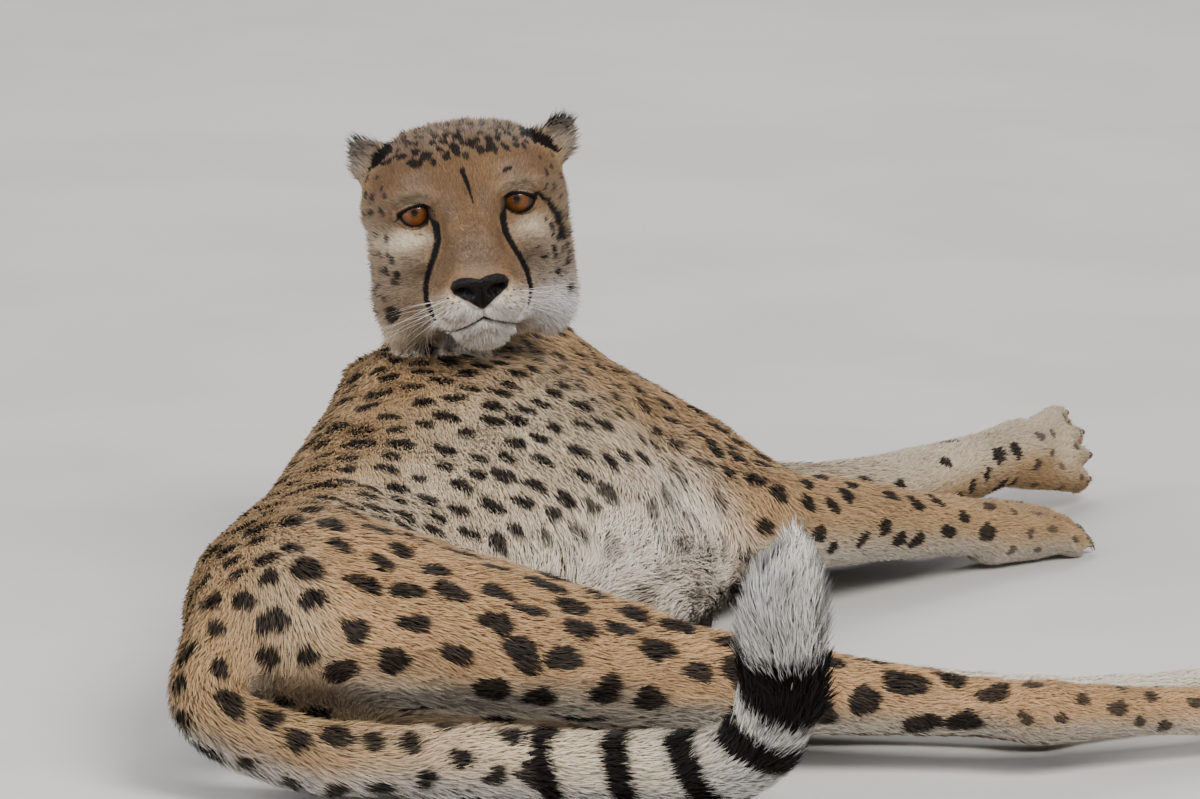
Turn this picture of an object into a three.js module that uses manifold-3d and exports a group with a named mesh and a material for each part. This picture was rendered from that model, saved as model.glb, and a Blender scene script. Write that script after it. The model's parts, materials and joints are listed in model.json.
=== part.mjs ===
// A cheetah at rest, life size, in millimetres, as a still model.
//
// The animal lies on its left side on a level floor (z = 0).  +Y runs from the rump to the
// breast, +X is the belly side, where all four legs reach, and +Z is up.  The neck folds back
// over the withers, so that the face looks along -Y, over the flank.  The origin is on the flat
// that the flank makes on the floor, level with the hip joints.
//
// Every piece of flesh is one smooth field: tapered tubes and ellipsoids that melt into each
// other.  A field is negative inside.  surfaceNet() turns a region of it into a closed mesh,
// and manifold-3d then parts the meshes at the joints with thin cuts.
import * as THREE from "three";
import { mergeVertices } from "three/addons/utils/BufferGeometryUtils.js";
import Module from "manifold-3d";

const wasm = await Module();
wasm.setup();

// ---------------------------------------------------------------- driving dimensions
const GAP = 0.5; // the thin cut between two neighbouring pieces
const LEAN = 25; // degrees the trunk rolls from flat on its side towards the breast
const FOREARM = 245; // elbow to wrist
const EYE_SPACING = 75; // between the pupils
const EYE_RADIUS = 17.5;
const HEAD_AT = [-20, 420, 308]; // midway between the two eyes
const HEAD_HEADING = -71; // degrees from +X: the way the face looks
const HEAD_PITCH = -3; // degrees the nose points above level
const HEAD_ROLL = 7.2; // degrees the right eye sits lower than the left

// Mesh fineness: the edge of one cell of each region's grid,
// and how far the mesh may stray when its flatter places are thinned out.
const FINE = { head: [7.8, 2.8], ear: [6, 1.9], nose: [4.5, 1.3], neck: [20, 5], trunk: [22, 8],
  tail: [13, 4], upper_arm: [18, 6], forearm: [13, 5], paw: [8.5, 4.2], thigh: [21, 8],
  shank: [13, 4], foot: [9, 5], cutter: [22, 12] };

const COLOUR = { coat: 0xc69a62, pale: 0xe9e0cf, dark: 0x17120f, iris: 0xa4581c };

// ---------------------------------------------------------------- fields
const radians = THREE.MathUtils.degToRad;
const mix = (a, b, t) => a + (b - a) * t;
const sub = (a, b) => [a[0] - b[0], a[1] - b[1], a[2] - b[2]];
const dot = (a, b) => a[0] * b[0] + a[1] * b[1] + a[2] * b[2];
const cross = (a, b) => [
  a[1] * b[2] - a[2] * b[1], a[2] * b[0] - a[0] * b[2], a[0] * b[1] - a[1] * b[0]];
const unit = (a) => { const l = Math.hypot(...a) || 1; return [a[0] / l, a[1] / l, a[2] / l]; };
const along = (a, d, s) => [a[0] + d[0] * s, a[1] + d[1] * s, a[2] + d[2] * s];

// Two shapes melt together over a zone k wide.
const melt2 = (a, b, k) => {
  const h = Math.max(k - Math.abs(a - b), 0);
  return Math.min(a, b) - (h * h) / (4 * k);
};
const melt = (k, ...fields) => (x, y, z) =>
  fields.reduce((d, f) => melt2(d, f(x, y, z), k), 1e4);
const carve = (k, body, tool) => (x, y, z) => -melt2(-body(x, y, z), tool(x, y, z), k);
const join = (...fields) => (x, y, z) => Math.min(...fields.map((f) => f(x, y, z)));

// Distance to an ellipsoid from its own axes, good near the surface.
function rounded(u, v, w, a, b, c) {
  const k0 = Math.hypot(u / a, v / b, w / c);
  const k1 = Math.hypot(u / (a * a), v / (b * b), w / (c * c));
  return k1 < 1e-9 ? -Math.min(a, b, c) : (k0 * (k0 - 1)) / k1;
}

// An ellipsoid.  Its first axis points along `axis` and its second lies nearest to `second`.
function ellipsoid(c, r, axis = [1, 0, 0], second = [0, 1, 0]) {
  const u = unit(axis), w = unit(cross(u, second)), v = cross(w, u);
  return (x, y, z) => {
    const p = [x - c[0], y - c[1], z - c[2]];
    return rounded(dot(p, u), dot(p, v), dot(p, w), ...r);
  };
}

// A limb or trunk: a curve through stations [x, y, z, a, b].  a is the half width towards
// `side` and b the half width across it.  `side` is one direction, or one for each station.
function tube(stations, side = [0, 0, 1], steps = 4) {
  const n = stations.length, sides = Array.isArray(side[0]) ? side : stations.map(() => side);
  const rows = stations.map((s, i) => [...s, ...sides[i]]), fine = [];
  for (let i = 0; i < n - 1; i++)
    for (let j = 0; j < steps + (i === n - 2 ? 1 : 0); j++) {
      const t = j / steps, [p, q, r, s] = [-1, 0, 1, 2].map((o) =>
        rows[Math.min(n - 1, Math.max(0, i + o))]);
      fine.push(q.map((_, m) => 0.5 * (2 * q[m] + (r[m] - p[m]) * t
        + (2 * p[m] - 5 * q[m] + 4 * r[m] - s[m]) * t * t
        + (3 * q[m] - p[m] - 3 * r[m] + s[m]) * t * t * t)));
    }
  const links = fine.slice(1).map((q, i) => {
    const p = fine[i], d = sub(q, p), l = Math.hypot(...d), dir = unit(d);
    const across = unit(cross(dir, p.slice(5)));
    return { p, q, d, l2: l * l, dir, across, up: cross(across, dir) };
  });
  const lo = [0, 1, 2].map((a) => Math.min(...fine.map((f) => f[a] - Math.max(f[3], f[4]))));
  const hi = [0, 1, 2].map((a) => Math.max(...fine.map((f) => f[a] + Math.max(f[3], f[4]))));
  return (x, y, z) => {
    const far = Math.hypot(Math.max(lo[0] - x, 0, x - hi[0]), Math.max(lo[1] - y, 0, y - hi[1]),
      Math.max(lo[2] - z, 0, z - hi[2]));
    if (far > 70) return far;
    let best = 1e4;
    for (const { p, q, d, l2, dir, across, up } of links) {
      const ex = x - p[0], ey = y - p[1], ez = z - p[2];
      const t = Math.min(1, Math.max(0, (ex * d[0] + ey * d[1] + ez * d[2]) / l2));
      const fx = ex - d[0] * t, fy = ey - d[1] * t, fz = ez - d[2] * t;
      const a = mix(p[3], q[3], t), b = mix(p[4], q[4], t);
      const e = rounded(fx * up[0] + fy * up[1] + fz * up[2],
        fx * across[0] + fy * across[1] + fz * across[2],
        fx * dir[0] + fy * dir[1] + fz * dir[2], a, b, 0.85 * Math.min(a, b));
      if (e < best) best = e;
    }
    return best;
  };
}

// A field described in a frame of its own, placed by a matrix.
function placed(matrix, field) {
  const m = matrix.clone().invert().elements;
  return (x, y, z) => field(
    m[0] * x + m[4] * y + m[8] * z + m[12],
    m[1] * x + m[5] * y + m[9] * z + m[13],
    m[2] * x + m[6] * y + m[10] * z + m[14]);
}

// ---------------------------------------------------------------- trunk and neck
// Each station's side points out of the right flank; b reaches from the spine to the belly.
const flank = (lean) => [Math.sin(radians(lean)), 0, Math.cos(radians(lean))];
const spine = [
  [-20, -92, 94, 50, 56, LEAN], // rump
  [-10, -20, 85, 74, 96, LEAN], // hips
  [-14, 90, 81, 71, 102, LEAN], // loin
  [-10, 190, 80, 71, 112, LEAN], // waist
  [4, 290, 87, 80, 136, LEAN], // last ribs
  [18, 400, 93, 87, 155, LEAN], // chest
  [15, 490, 95, 84, 150, LEAN + 3], // behind the shoulders
  [-4, 560, 98, 75, 120, LEAN + 6], // shoulders
  [-20, 612, 104, 58, 84, LEAN + 8], // breast
];
const barrel = tube(spine.map((s) => s.slice(0, 5)), spine.map((s) => flank(s[5])), 3);
// The shoulder blades lie on the ribs; their upper ends make the withers.
const bladeRight = tube([[-114, 486, 158, 18, 34], [-62, 556, 164, 25, 50],
  [-10, 604, 136, 36, 54]], [0.3, 0, 1], 3);
const bladeLeft = tube([[-118, 500, 112, 18, 32], [-70, 575, 78, 24, 46],
  [-15, 600, 56, 36, 50]], [-0.2, 0, -1], 3);
const brisket = ellipsoid([132, 430, 40], [40, 128, 34], [1, 0, -0.25]); // the breastbone
const neck = tube([[-38, 576, 110, 80, 92], [-66, 612, 164, 62, 76], [-80, 620, 218, 54, 64],
  [-74, 590, 262, 52, 60], [-58, 540, 284, 54, 56], [-44, 500, 290, 50, 50]], [1, 0, 0], 3);

// ---------------------------------------------------------------- head, in its own frame
// x runs to the animal's right, y out of the face and z up; the eyes are at y = z = 0.
const headFrame = (() => {
  const h = radians(HEAD_HEADING), p = radians(HEAD_PITCH), r = radians(HEAD_ROLL);
  const ahead = new THREE.Vector3(Math.cos(h) * Math.cos(p), Math.sin(h) * Math.cos(p),
    Math.sin(p));
  const right = new THREE.Vector3().crossVectors(ahead, new THREE.Vector3(0, 0, 1)).normalize()
    .applyAxisAngle(ahead, r);
  const up = new THREE.Vector3().crossVectors(right, ahead);
  return new THREE.Matrix4().makeBasis(right, ahead, up).setPosition(...HEAD_AT);
})();
const both = (make) => [make(1), make(-1)]; // right side, left side
const eyeAt = (s) => [s * EYE_SPACING / 2, -EYE_RADIUS, 0];
const skull = melt(22,
  ellipsoid([0, -60, 0], [60, 62, 50]), // brain case
  ...both((s) => ellipsoid([s * 29, -62, 26], [26, 38, 19])), // the crown's broad corners
  ellipsoid([0, -24, 10], [46, 32, 34]), // forehead
  ...both((s) => ellipsoid([s * 43, -46, -36], [31, 44, 46])), // cheeks
  ...both((s) => ellipsoid([s * 45, -51, -78], [32, 36, 32])), // ruff under the cheeks
  ...both((s) => ellipsoid([s * 46, -64, 2], [27, 34, 30])), // fur of the temples
  ...both((s) => ellipsoid([s * 33, -14, 11], [24, 17, 13])), // brows
  ...both((s) => ellipsoid([s * 32, -4, -26], [22, 20, 15])), // cheek bones under the eyes
  ellipsoid([0, -36, -72], [46, 46, 30])); // throat
const muzzle = melt(12,
  tube([[0, -6, 6, 19, 22], [0, 20, -8, 17, 22], [0, 52, -30, 14, 19]], [0, 0, 1], 3), // bridge
  ellipsoid([0, 30, -46], [32, 36, 26]),
  ...both((s) => ellipsoid([s * 17, 46, -55], [20, 24, 16])), // whisker pads
  ellipsoid([0, 40, -76], [20, 22, 17]), // chin
  ...both((s) => tube([[s * 12, 34, -76, 14, 12], [s * 32, -20, -66, 22, 18]], [0, 0, 1], 3)));
const sockets = join(...both((s) => ellipsoid([s * 38, 3, 0], [15, 10, 11])));
const headShape = placed(headFrame, carve(5, melt(15, skull, muzzle), sockets));
const noseShape = placed(headFrame, carve(3,
  melt(6, ellipsoid([0, 63, -36], [20, 10, 8]), ellipsoid([0, 64, -46], [10, 8, 11])),
  ellipsoid([0, 66, -22], [30, 20, 8])));
const EAR = { root: 60, back: -70, height: 24, long: 31, wide: 21, thick: 12 };
const earAxis = (s) => (s > 0 ? [0.56, -0.56, 0.54] : [-0.8, -0.22, 0.56]);
const earFace = (s) => unit([s * (s > 0 ? 0.5 : 0.72), 0.8, -0.1]); // the way the ear opens
const ear = (s) => {
  const root = [s * EAR.root - (s < 0 ? 5 : 0), EAR.back, EAR.height - (s < 0 ? 2 : 0)];
  const wide = cross(earAxis(s), earFace(s));
  const cup = along(along(root, unit(earAxis(s)), 5), earFace(s), 11);
  return placed(headFrame, carve(4,
    ellipsoid(root, [EAR.long, EAR.wide, EAR.thick], earAxis(s), wide),
    ellipsoid(cup, [EAR.long - 8, EAR.wide - 6, 11], earAxis(s), wide)));
};

// ---------------------------------------------------------------- legs
// A paw points along `toward` with its back to `up`: four toes, their pads and a heel pad.
function paw(wrist, toward, up, size) {
  const t = unit(toward), s = unit(cross(t, up)), n = cross(s, t);
  const at = (f, w, h) => along(along(along(wrist, t, f * size), s, w * size), n, h * size);
  const toes = [-26, -9, 9, 26].map((w, i) => {
    const reach = i === 0 || i === 3 ? 82 : 94;
    const joint = at(reach - 40, w * 0.8, 6), tip = at(reach - 8, w * 1.02, -5);
    return { tip, shape: tube([[...at(reach - 66, w * 0.5, 2), 13 * size, 12 * size],
      [...joint, 13 * size, 11.5 * size], [...tip, 10 * size, 10 * size]], n, 3),
      claw: [at(reach - 2, w * 1.04, 0), at(reach + 12, w * 1.06, -11)] };
  });
  const palm = melt(10 * size,
    tube([[...at(0, 0, 0), 20 * size, 22 * size], [...at(32, 0, 0), 17 * size, 27 * size]], n, 2),
    ellipsoid(at(44, 0, -9), [24 * size, 24 * size, 11 * size], t, s));
  return { shape: melt(7 * size, palm, ...toes.map((d) => d.shape)),
    claws: toes.map((d) => d.claw) };
}
// A leg: named lengths of tube that melt into each other, with the paw at the end.
const rightElbow = [182, 502, 71], leftElbow = [206, 668, 46];
const rightFore = unit([120, 201, -40]), leftFore = unit([80, 231, 6]); // elbow to wrist
const rightWrist = along(rightElbow, rightFore, FOREARM);
const leftWrist = along(leftElbow, leftFore, FOREARM);
const foreRight = {
  upper: melt(20, tube([[-14, 608, 130, 38, 52], [80, 566, 105, 44, 60], [182, 504, 73, 36, 42]]),
    tube([[-10, 545, 132, 30, 42], [90, 515, 102, 33, 40], [190, 484, 74, 26, 24]])),
  lower: tube([[...rightElbow, 36, 42], [...along(rightElbow, rightFore, 62), 34, 39],
    [...along(rightElbow, rightFore, 140), 27, 30],
    [...along(rightElbow, rightFore, 205), 22, 24], [...rightWrist, 23, 25]]),
  paw: paw(along(rightWrist, [0, 0, 1], -6), [0.48, 0.87, -0.06], [0.15, -0.1, 1], 1.0),
};
const foreLeft = {
  upper: melt(20, tube([[-12, 596, 48, 38, 50], [98, 632, 46, 42, 54], [206, 666, 44, 37, 40]]),
    tube([[-10, 560, 50, 26, 40], [95, 596, 47, 32, 36], [208, 644, 45, 26, 24]])),
  lower: tube([[...leftElbow, 36, 40], [...along(leftElbow, leftFore, 62), 33, 37],
    [...along(leftElbow, leftFore, 140), 27, 30],
    [...along(leftElbow, leftFore, 205), 23, 26], [...leftWrist, 25, 26]]),
  paw: paw(along(leftWrist, [0, 0, 1], -8), [0.36, 0.93, -0.02], [0.84, -0.3, 0.4], 1.0),
};
const rightKnee = [256, 18, 60], rightHock = [498, 48, 44];
const leftKnee = [236, 104, 38], leftHock = [478, 128, 27];
const hindRight = {
  upper: melt(25, tube([[-2, -8, 112, 54, 84], [118, 2, 88, 47, 76], [192, 10, 70, 41, 62],
    [256, 18, 58, 33, 44]]),
    tube([[-20, -88, 100, 34, 34], [90, -62, 82, 34, 40], [210, -18, 66, 28, 34]])),
  lower: tube([[...rightKnee, 32, 42], [318, 20, 55, 30, 40], [410, 34, 49, 23, 25],
    [...rightHock, 19, 23]]),
  foot: tube([[...along(rightHock, [-0.7, -0.7, 0], 26), 14, 13], [...rightHock, 20, 24],
    [565, 106, 36, 17, 19], [626, 160, 27, 18, 22]]),
  paw: paw([622, 156, 27], [0.74, 0.66, -0.08], [0.2, -0.4, 1], 0.95),
};
const hindLeft = {
  upper: melt(25, tube([[-2, 0, 48, 48, 78], [112, 44, 42, 44, 70], [180, 80, 39, 40, 58],
    [236, 104, 38, 34, 44]])),
  lower: tube([[...leftKnee, 33, 42], [296, 108, 36, 31, 40], [388, 118, 31, 25, 26],
    [...leftHock, 21, 23]]),
  foot: tube([[...along(leftHock, [-0.6, -0.8, 0], 26), 14, 13], [...leftHock, 21, 24],
    [540, 190, 25, 18, 19], [596, 246, 23, 18, 22]]),
  paw: paw([592, 242, 23], [0.7, 0.71, -0.03], [0.5, -0.4, 0.8], 0.95),
};
const whole = (leg) => melt(14, ...[leg.upper, leg.lower, leg.foot, leg.paw.shape].filter(Boolean));
const legs = { foreRight: whole(foreRight), foreLeft: whole(foreLeft),
  hindRight: whole(hindRight), hindLeft: whole(hindLeft) };

// ---------------------------------------------------------------- tail
const tailLine = [[-28, -70, 112, 34, 36], [-40, -120, 96, 30, 31], [-36, -168, 62, 27, 27],
  [25, -172, 36, 26, 26], [105, -150, 31, 26, 26], [190, -140, 30, 27, 27],
  [272, -140, 31, 28, 28], [332, -148, 46, 29, 29], [361, -162, 90, 31, 31],
  [366, -178, 136, 31, 31], [372, -192, 174, 25, 25], [378, -200, 198, 13, 13]];
const tail = tube(tailLine, [0, 0.2, 1], 4);

// ---------------------------------------------------------------- the whole body
const torso = melt(26, barrel, bladeRight, bladeLeft, brisket);
const limbs = { ...legs, tail };
const headless = (() => {
  const core = melt(40, torso, neck);
  return (x, y, z) => {
    const c = core(x, y, z);
    let d = c;
    for (const [name, limb] of Object.entries(limbs))
      d = Math.min(d, melt2(c, limb(x, y, z), name === "tail" ? 20 : 30));
    return d;
  };
})();
const headOnNeck = (x, y, z) => melt2(neck(x, y, z), headShape(x, y, z), 34);
const body = (x, y, z) => Math.min(headless(x, y, z), headOnNeck(x, y, z));
// Everything but one limb, to find where that limb leaves the rest.
const without = (name) => {
  const core = melt(26, torso, neck);
  const others = Object.keys(limbs).filter((n) => n !== name).map((n) => limbs[n]);
  return (x, y, z) => Math.min(core(x, y, z), ...others.map((f) => f(x, y, z)));
};

// ---------------------------------------------------------------- fields to solids
function solidFrom(positions, triangles) {
  return new wasm.Manifold(new wasm.Mesh({ numProp: 3,
    vertProperties: new Float32Array(positions), triVerts: new Uint32Array(triangles) }));
}

// A closed mesh of field = 0 in the box lo..hi: one vertex in each cell that the surface
// crosses, or one for each separate corner inside, then moved onto the surface.
function surfaceNet(field, lo, hi, cell, swell = 0) {
  const n = [0, 1, 2].map((a) => Math.ceil((hi[a] - lo[a]) / cell) + 1);
  const step = [1, n[0], n[0] * n[1]], value = new Float32Array(n[0] * n[1] * n[2]);
  for (let k = 0, c = 0; k < n[2]; k++)
    for (let j = 0; j < n[1]; j++)
      for (let i = 0; i < n[0]; i++, c++) {
        const edge = !i || !j || !k || i === n[0] - 1 || j === n[1] - 1 || k === n[2] - 1;
        const d = field(lo[0] + i * cell, lo[1] + j * cell, lo[2] + k * cell) - swell;
        value[c] = edge ? Math.max(d, cell / 2) : Math.abs(d) < 1e-3 ? 1e-3 : d;
      }
  // Where a face of a cell has its inside corners on one diagonal only, the outside corner
  // nearest the surface is let in, so that no four sheets ever meet along one edge.
  for (let again = true; again;) {
    again = false;
    for (const [s, t] of [[0, 1], [1, 2], [2, 0]].map((f) => f.map((a) => step[a])))
      for (let c = 0; c < value.length - s - t; c++) {
        if (value[c] > 0 === value[c + s] > 0 && value[c] > 0 === value[c + t] > 0) continue;
        const odd = value[c] < 0 && value[c + s + t] < 0 ? [c + s, c + t]
          : value[c + s] < 0 && value[c + t] < 0 ? [c, c + s + t] : null;
        if (!odd || value[odd[0]] < 0 || value[odd[1]] < 0) continue;
        value[value[odd[0]] < value[odd[1]] ? odd[0] : odd[1]] = -1e-3;
        again = true;
      }
  }
  const positions = [], owner = new Int32Array(value.length * 8).fill(-1);
  const shift = (c) => (c & 1) * step[0] + ((c >> 1) & 1) * step[1] + (c >> 2) * step[2];
  for (let k = 0; k < n[2] - 1; k++)
    for (let j = 0; j < n[1] - 1; j++)
      for (let i = 0; i < n[0] - 1; i++) {
        const at = i + j * step[1] + k * step[2];
        const inside = [0, 1, 2, 3, 4, 5, 6, 7].filter((c) => value[at + shift(c)] < 0);
        if (!inside.length || inside.length === 8) continue;
        const left = new Set(inside);
        while (left.size) {
          const group = [left.values().next().value], sum = [0, 0, 0];
          let hits = 0;
          left.delete(group[0]);
          for (const c of group)
            for (const bit of [1, 2, 4])
              if (left.has(c ^ bit)) { left.delete(c ^ bit); group.push(c ^ bit); }
          for (const c of group)
            for (const bit of [1, 2, 4]) {
              const vc = value[at + shift(c)], vo = value[at + shift(c ^ bit)];
              if (vo < 0) continue;
              const t = vc / (vc - vo), o = c ^ bit;
              sum[0] += mix(c & 1, o & 1, t);
              sum[1] += mix((c >> 1) & 1, (o >> 1) & 1, t);
              sum[2] += mix(c >> 2, o >> 2, t);
              hits++;
            }
          for (const c of group) owner[at * 8 + c] = positions.length / 3;
          positions.push(...settle(field, swell, cell, [lo[0] + (i + sum[0] / hits) * cell,
            lo[1] + (j + sum[1] / hits) * cell, lo[2] + (k + sum[2] / hits) * cell]));
        }
      }
  const triangles = [], gap = (p, q) => Math.hypot(positions[3 * p] - positions[3 * q],
    positions[3 * p + 1] - positions[3 * q + 1], positions[3 * p + 2] - positions[3 * q + 2]);
  for (let k = 0; k < n[2] - 1; k++)
    for (let j = 0; j < n[1] - 1; j++)
      for (let i = 0; i < n[0] - 1; i++) {
        const at = i + j * step[1] + k * step[2];
        for (let a = 0; a < 3; a++) {
          const near = value[at] < 0, far = value[at + step[a]] < 0;
          if (near === far) continue;
          const b = (a + 1) % 3, c = (a + 2) % 3;
          const ring = [[1, 1], [0, 1], [0, 0], [1, 0]].map(([p, q]) =>
            owner[(at - p * step[b] - q * step[c]) * 8 + ((near ? 0 : 1) << a | p << b | q << c)]);
          if (!near) ring.reverse();
          if (gap(ring[0], ring[2]) < gap(ring[1], ring[3]))
            triangles.push(ring[0], ring[1], ring[2], ring[0], ring[2], ring[3]);
          else triangles.push(ring[0], ring[1], ring[3], ring[1], ring[2], ring[3]);
        }
      }
  return { positions, triangles };
}
// Walk a point onto the surface along the field's slope.
function settle(field, swell, cell, p) {
  const start = p.slice(), e = 0.4;
  for (let i = 0; i < 3; i++) {
    const d = field(...p) - swell;
    if (Math.abs(d) > cell * 0.8) return start;
    const g = [field(p[0] + e, p[1], p[2]) - field(p[0] - e, p[1], p[2]),
      field(p[0], p[1] + e, p[2]) - field(p[0], p[1] - e, p[2]),
      field(p[0], p[1], p[2] + e) - field(p[0], p[1], p[2] - e)].map((v) => v / (2 * e));
    p = along(p, g, -d / Math.max(0.3, dot(g, g)));
  }
  return Math.hypot(...sub(p, start)) < cell * 0.75 ? p : start;
}
// A net with fewer triangles: vertices merge along edges, the flattest places first, until the
// next merge would leave the planes that its vertices stand for by more than `slack`.
function thin({ positions, triangles }, slack) {
  const p = positions.slice(), n = p.length / 3, tris = [], quad = [], age = new Int32Array(n);
  const at = Array.from({ length: n }, () => new Set());
  const point = (v) => [p[3 * v], p[3 * v + 1], p[3 * v + 2]];
  const normalOf = (a, b, c) => cross(sub(b, a), sub(c, a));
  for (let v = 0; v < n; v++) quad.push(new Float64Array(10));
  for (let i = 0; i < triangles.length; i += 3) {
    const t = [triangles[i], triangles[i + 1], triangles[i + 2]], [a, b, c] = t.map(point);
    const m = unit(normalOf(a, b, c)), d = -dot(m, a);
    const q = [m[0] * m[0], m[0] * m[1], m[0] * m[2], m[0] * d, m[1] * m[1], m[1] * m[2],
      m[1] * d, m[2] * m[2], m[2] * d, d * d];
    t.forEach((v) => { at[v].add(tris.length); q.forEach((x, j) => { quad[v][j] += x / 3; }); });
    tris.push(t);
  }
  const error = (u, v, [x, y, z]) => {
    const q = quad[u].map((e, j) => e + quad[v][j]);
    return q[0] * x * x + 2 * q[1] * x * y + 2 * q[2] * x * z + 2 * q[3] * x + q[4] * y * y
      + 2 * q[5] * y * z + 2 * q[6] * y + q[7] * z * z + 2 * q[8] * z + q[9];
  };
  const ringOf = (v) => new Set([...at[v]].flatMap((t) => tris[t]).filter((w) => w !== v));
  const heap = [];
  const push = (u, v) => {
    const a = point(u), b = point(v), places = [a, b, a.map((e, j) => (e + b[j]) / 2)];
    const costs = places.map((c) => error(u, v, c)
      + 1e-5 * dot(sub(a, b), sub(a, b))), k = costs.indexOf(Math.min(...costs));
    if (costs[k] > slack * slack) return;
    heap.push([costs[k], u, v, age[u], age[v], places[k]]);
    for (let i = heap.length - 1; i > 0;) {
      const up = (i - 1) >> 1;
      if (heap[up][0] <= heap[i][0]) break;
      [heap[up], heap[i]] = [heap[i], heap[up]];
      i = up;
    }
  };
  const pop = () => {
    const top = heap[0], last = heap.pop();
    if (heap.length) {
      heap[0] = last;
      for (let i = 0; ;) {
        let k = 2 * i + 1;
        if (k >= heap.length) break;
        if (k + 1 < heap.length && heap[k + 1][0] < heap[k][0]) k++;
        if (heap[i][0] <= heap[k][0]) break;
        [heap[i], heap[k]] = [heap[k], heap[i]];
        i = k;
      }
    }
    return top;
  };
  for (let v = 0; v < n; v++) for (const w of ringOf(v)) if (w > v) push(v, w);
  while (heap.length) {
    const [, u, v, au, av, to] = pop();
    if (age[u] !== au || age[v] !== av) continue;
    const nu = ringOf(u), shared = [...ringOf(v)].filter((w) => nu.has(w));
    if (shared.length !== 2) continue; // merging here would pinch the surface
    const turns = [...new Set([...at[u], ...at[v]])].some((t) => {
      const old = tris[t], gone = old.includes(u) && old.includes(v);
      if (gone) return false;
      const was = unit(normalOf(...old.map(point)));
      const is = unit(normalOf(...old.map((w) => (w === u || w === v ? to : point(w)))));
      return dot(was, is) < 0.5;
    });
    if (turns) continue;
    for (const t of at[u]) {
      if (tris[t].includes(v)) { tris[t].forEach((w) => at[w].delete(t)); tris[t] = null; }
      else { tris[t] = tris[t].map((w) => (w === u ? v : w)); at[v].add(t); }
    }
    at[u].clear();
    quad[u].forEach((x, j) => { quad[v][j] += x; });
    p.splice(3 * v, 3, ...to);
    age[u] = -1;
    age[v]++;
    for (const w of ringOf(v)) push(Math.min(v, w), Math.max(v, w));
  }
  const index = new Map(), out = [], faces = [];
  for (const t of tris) if (t) for (const v of t) {
    if (!index.has(v)) { index.set(v, index.size); out.push(...point(v)); }
    faces.push(index.get(v));
  }
  return { positions: out, triangles: faces };
}
function solidOf(field, lo, hi, cell, slack = 0, swell = 0) {
  for (const nudge of [0, 0.37, 0.61, 0.83]) {
    let net = surfaceNet(field, lo.map((v) => v - nudge * cell), hi, cell, swell);
    if (slack) net = thin(net, slack);
    try { return solidFrom(net.positions, net.triangles); } catch (e) {
      if (nudge > 0.8) throw e;
    }
  }
}
// A three.js geometry as a solid, with its shared corners merged.
function solidFromGeometry(geometry) {
  const g = geometry.clone();
  g.deleteAttribute("normal");
  g.deleteAttribute("uv");
  const m = mergeVertices(g, 1e-3);
  return solidFrom(m.attributes.position.array, m.index.array);
}
function block(centre, size, normal = [0, 0, 1]) {
  const q = new THREE.Quaternion().setFromUnitVectors(new THREE.Vector3(0, 0, 1),
    new THREE.Vector3(...unit(normal)));
  return solidFromGeometry(new THREE.BoxGeometry(...size).applyQuaternion(q)
    .translate(...centre));
}
const cut = (centre, normal, span) => block(centre, [span, span, GAP], normal);
const under = block([200, 400, -200], [2400, 2400, 400]); // everything below the floor
const ball = (c, r) => solidFromGeometry(new THREE.SphereGeometry(r, 12, 9)
  .translate(...c));
function cone([base, tip], radius) {
  const d = sub(tip, base), q = new THREE.Quaternion().setFromUnitVectors(
    new THREE.Vector3(0, 1, 0), new THREE.Vector3(...unit(d)));
  const l = Math.hypot(...d);
  return solidFromGeometry(new THREE.CylinderGeometry(radius * 0.3, radius, l, 6)
    .applyQuaternion(q).translate(...along(base, d, 0.5)));
}

// One piece: the body's surface in a box, less the cuts, keeping the part round `keep`.
function piece({ field = body, lo, hi, cell, cuts = [], within = null, less = [], keep }) {
  let s = solidOf(field, lo, hi, ...cell).subtract(under);
  if (within) s = s.intersect(within);
  for (const c of [...cuts, ...less]) s = s.subtract(c);
  const probe = ball(keep, 8);
  const overlap = (part) => part.intersect(probe).volume();
  return s.decompose().sort((a, b) => overlap(b) - overlap(a))[0];
}
const around = (points, r) => [[0, 1, 2].map((a) => Math.min(...points.map((p) => p[a])) - r),
  [0, 1, 2].map((a) => Math.max(...points.map((p) => p[a])) + r)];

// ---------------------------------------------------------------- where the pieces part
const limbBox = {
  foreRight: [[-90, 440, 0], [420, 860, 240]], foreLeft: [[-80, 520, -10], [420, 1070, 130]],
  hindRight: [[-110, -150, 0], [740, 260, 210]], hindLeft: [[-90, -120, -10], [720, 350, 140]],
  tail: [[-90, -230, 0], [420, -60, 220]],
};
const region = {}, grown = {}; // each limb's room, and the same a gap wider
for (const name of Object.keys(limbs)) {
  const rest = without(name), leg = limbs[name], [lo, hi] = limbBox[name];
  const room = (x, y, z) => { const d = leg(x, y, z); return Math.max(d - rest(x, y, z), d - 24); };
  const net = thin(surfaceNet(room, lo.map((v) => v - 40), hi.map((v) => v + 40),
    FINE.cutter[0]), FINE.cutter[1]);
  region[name] = solidFrom(net.positions, net.triangles);
  const wide = net.positions.slice();
  const normals = new Float32Array(wide.length), t = net.triangles, p = net.positions;
  for (let i = 0; i < t.length; i += 3) {
    const [a, b, c] = [0, 1, 2].map((o) => p.slice(3 * t[i + o], 3 * t[i + o] + 3));
    const nrm = cross(sub(b, a), sub(c, a));
    for (let o = 0; o < 3; o++) for (let m = 0; m < 3; m++) normals[3 * t[i + o] + m] += nrm[m];
  }
  for (let i = 0; i < wide.length; i += 3) {
    const nrm = unit([...normals.slice(i, i + 3)]);
    for (let m = 0; m < 3; m++) wide[i + m] += nrm[m] * GAP * 2;
  }
  grown[name] = solidFrom(wide, net.triangles);
}
const order = ["foreRight", "foreLeft", "hindRight", "hindLeft", "tail"];
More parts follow.
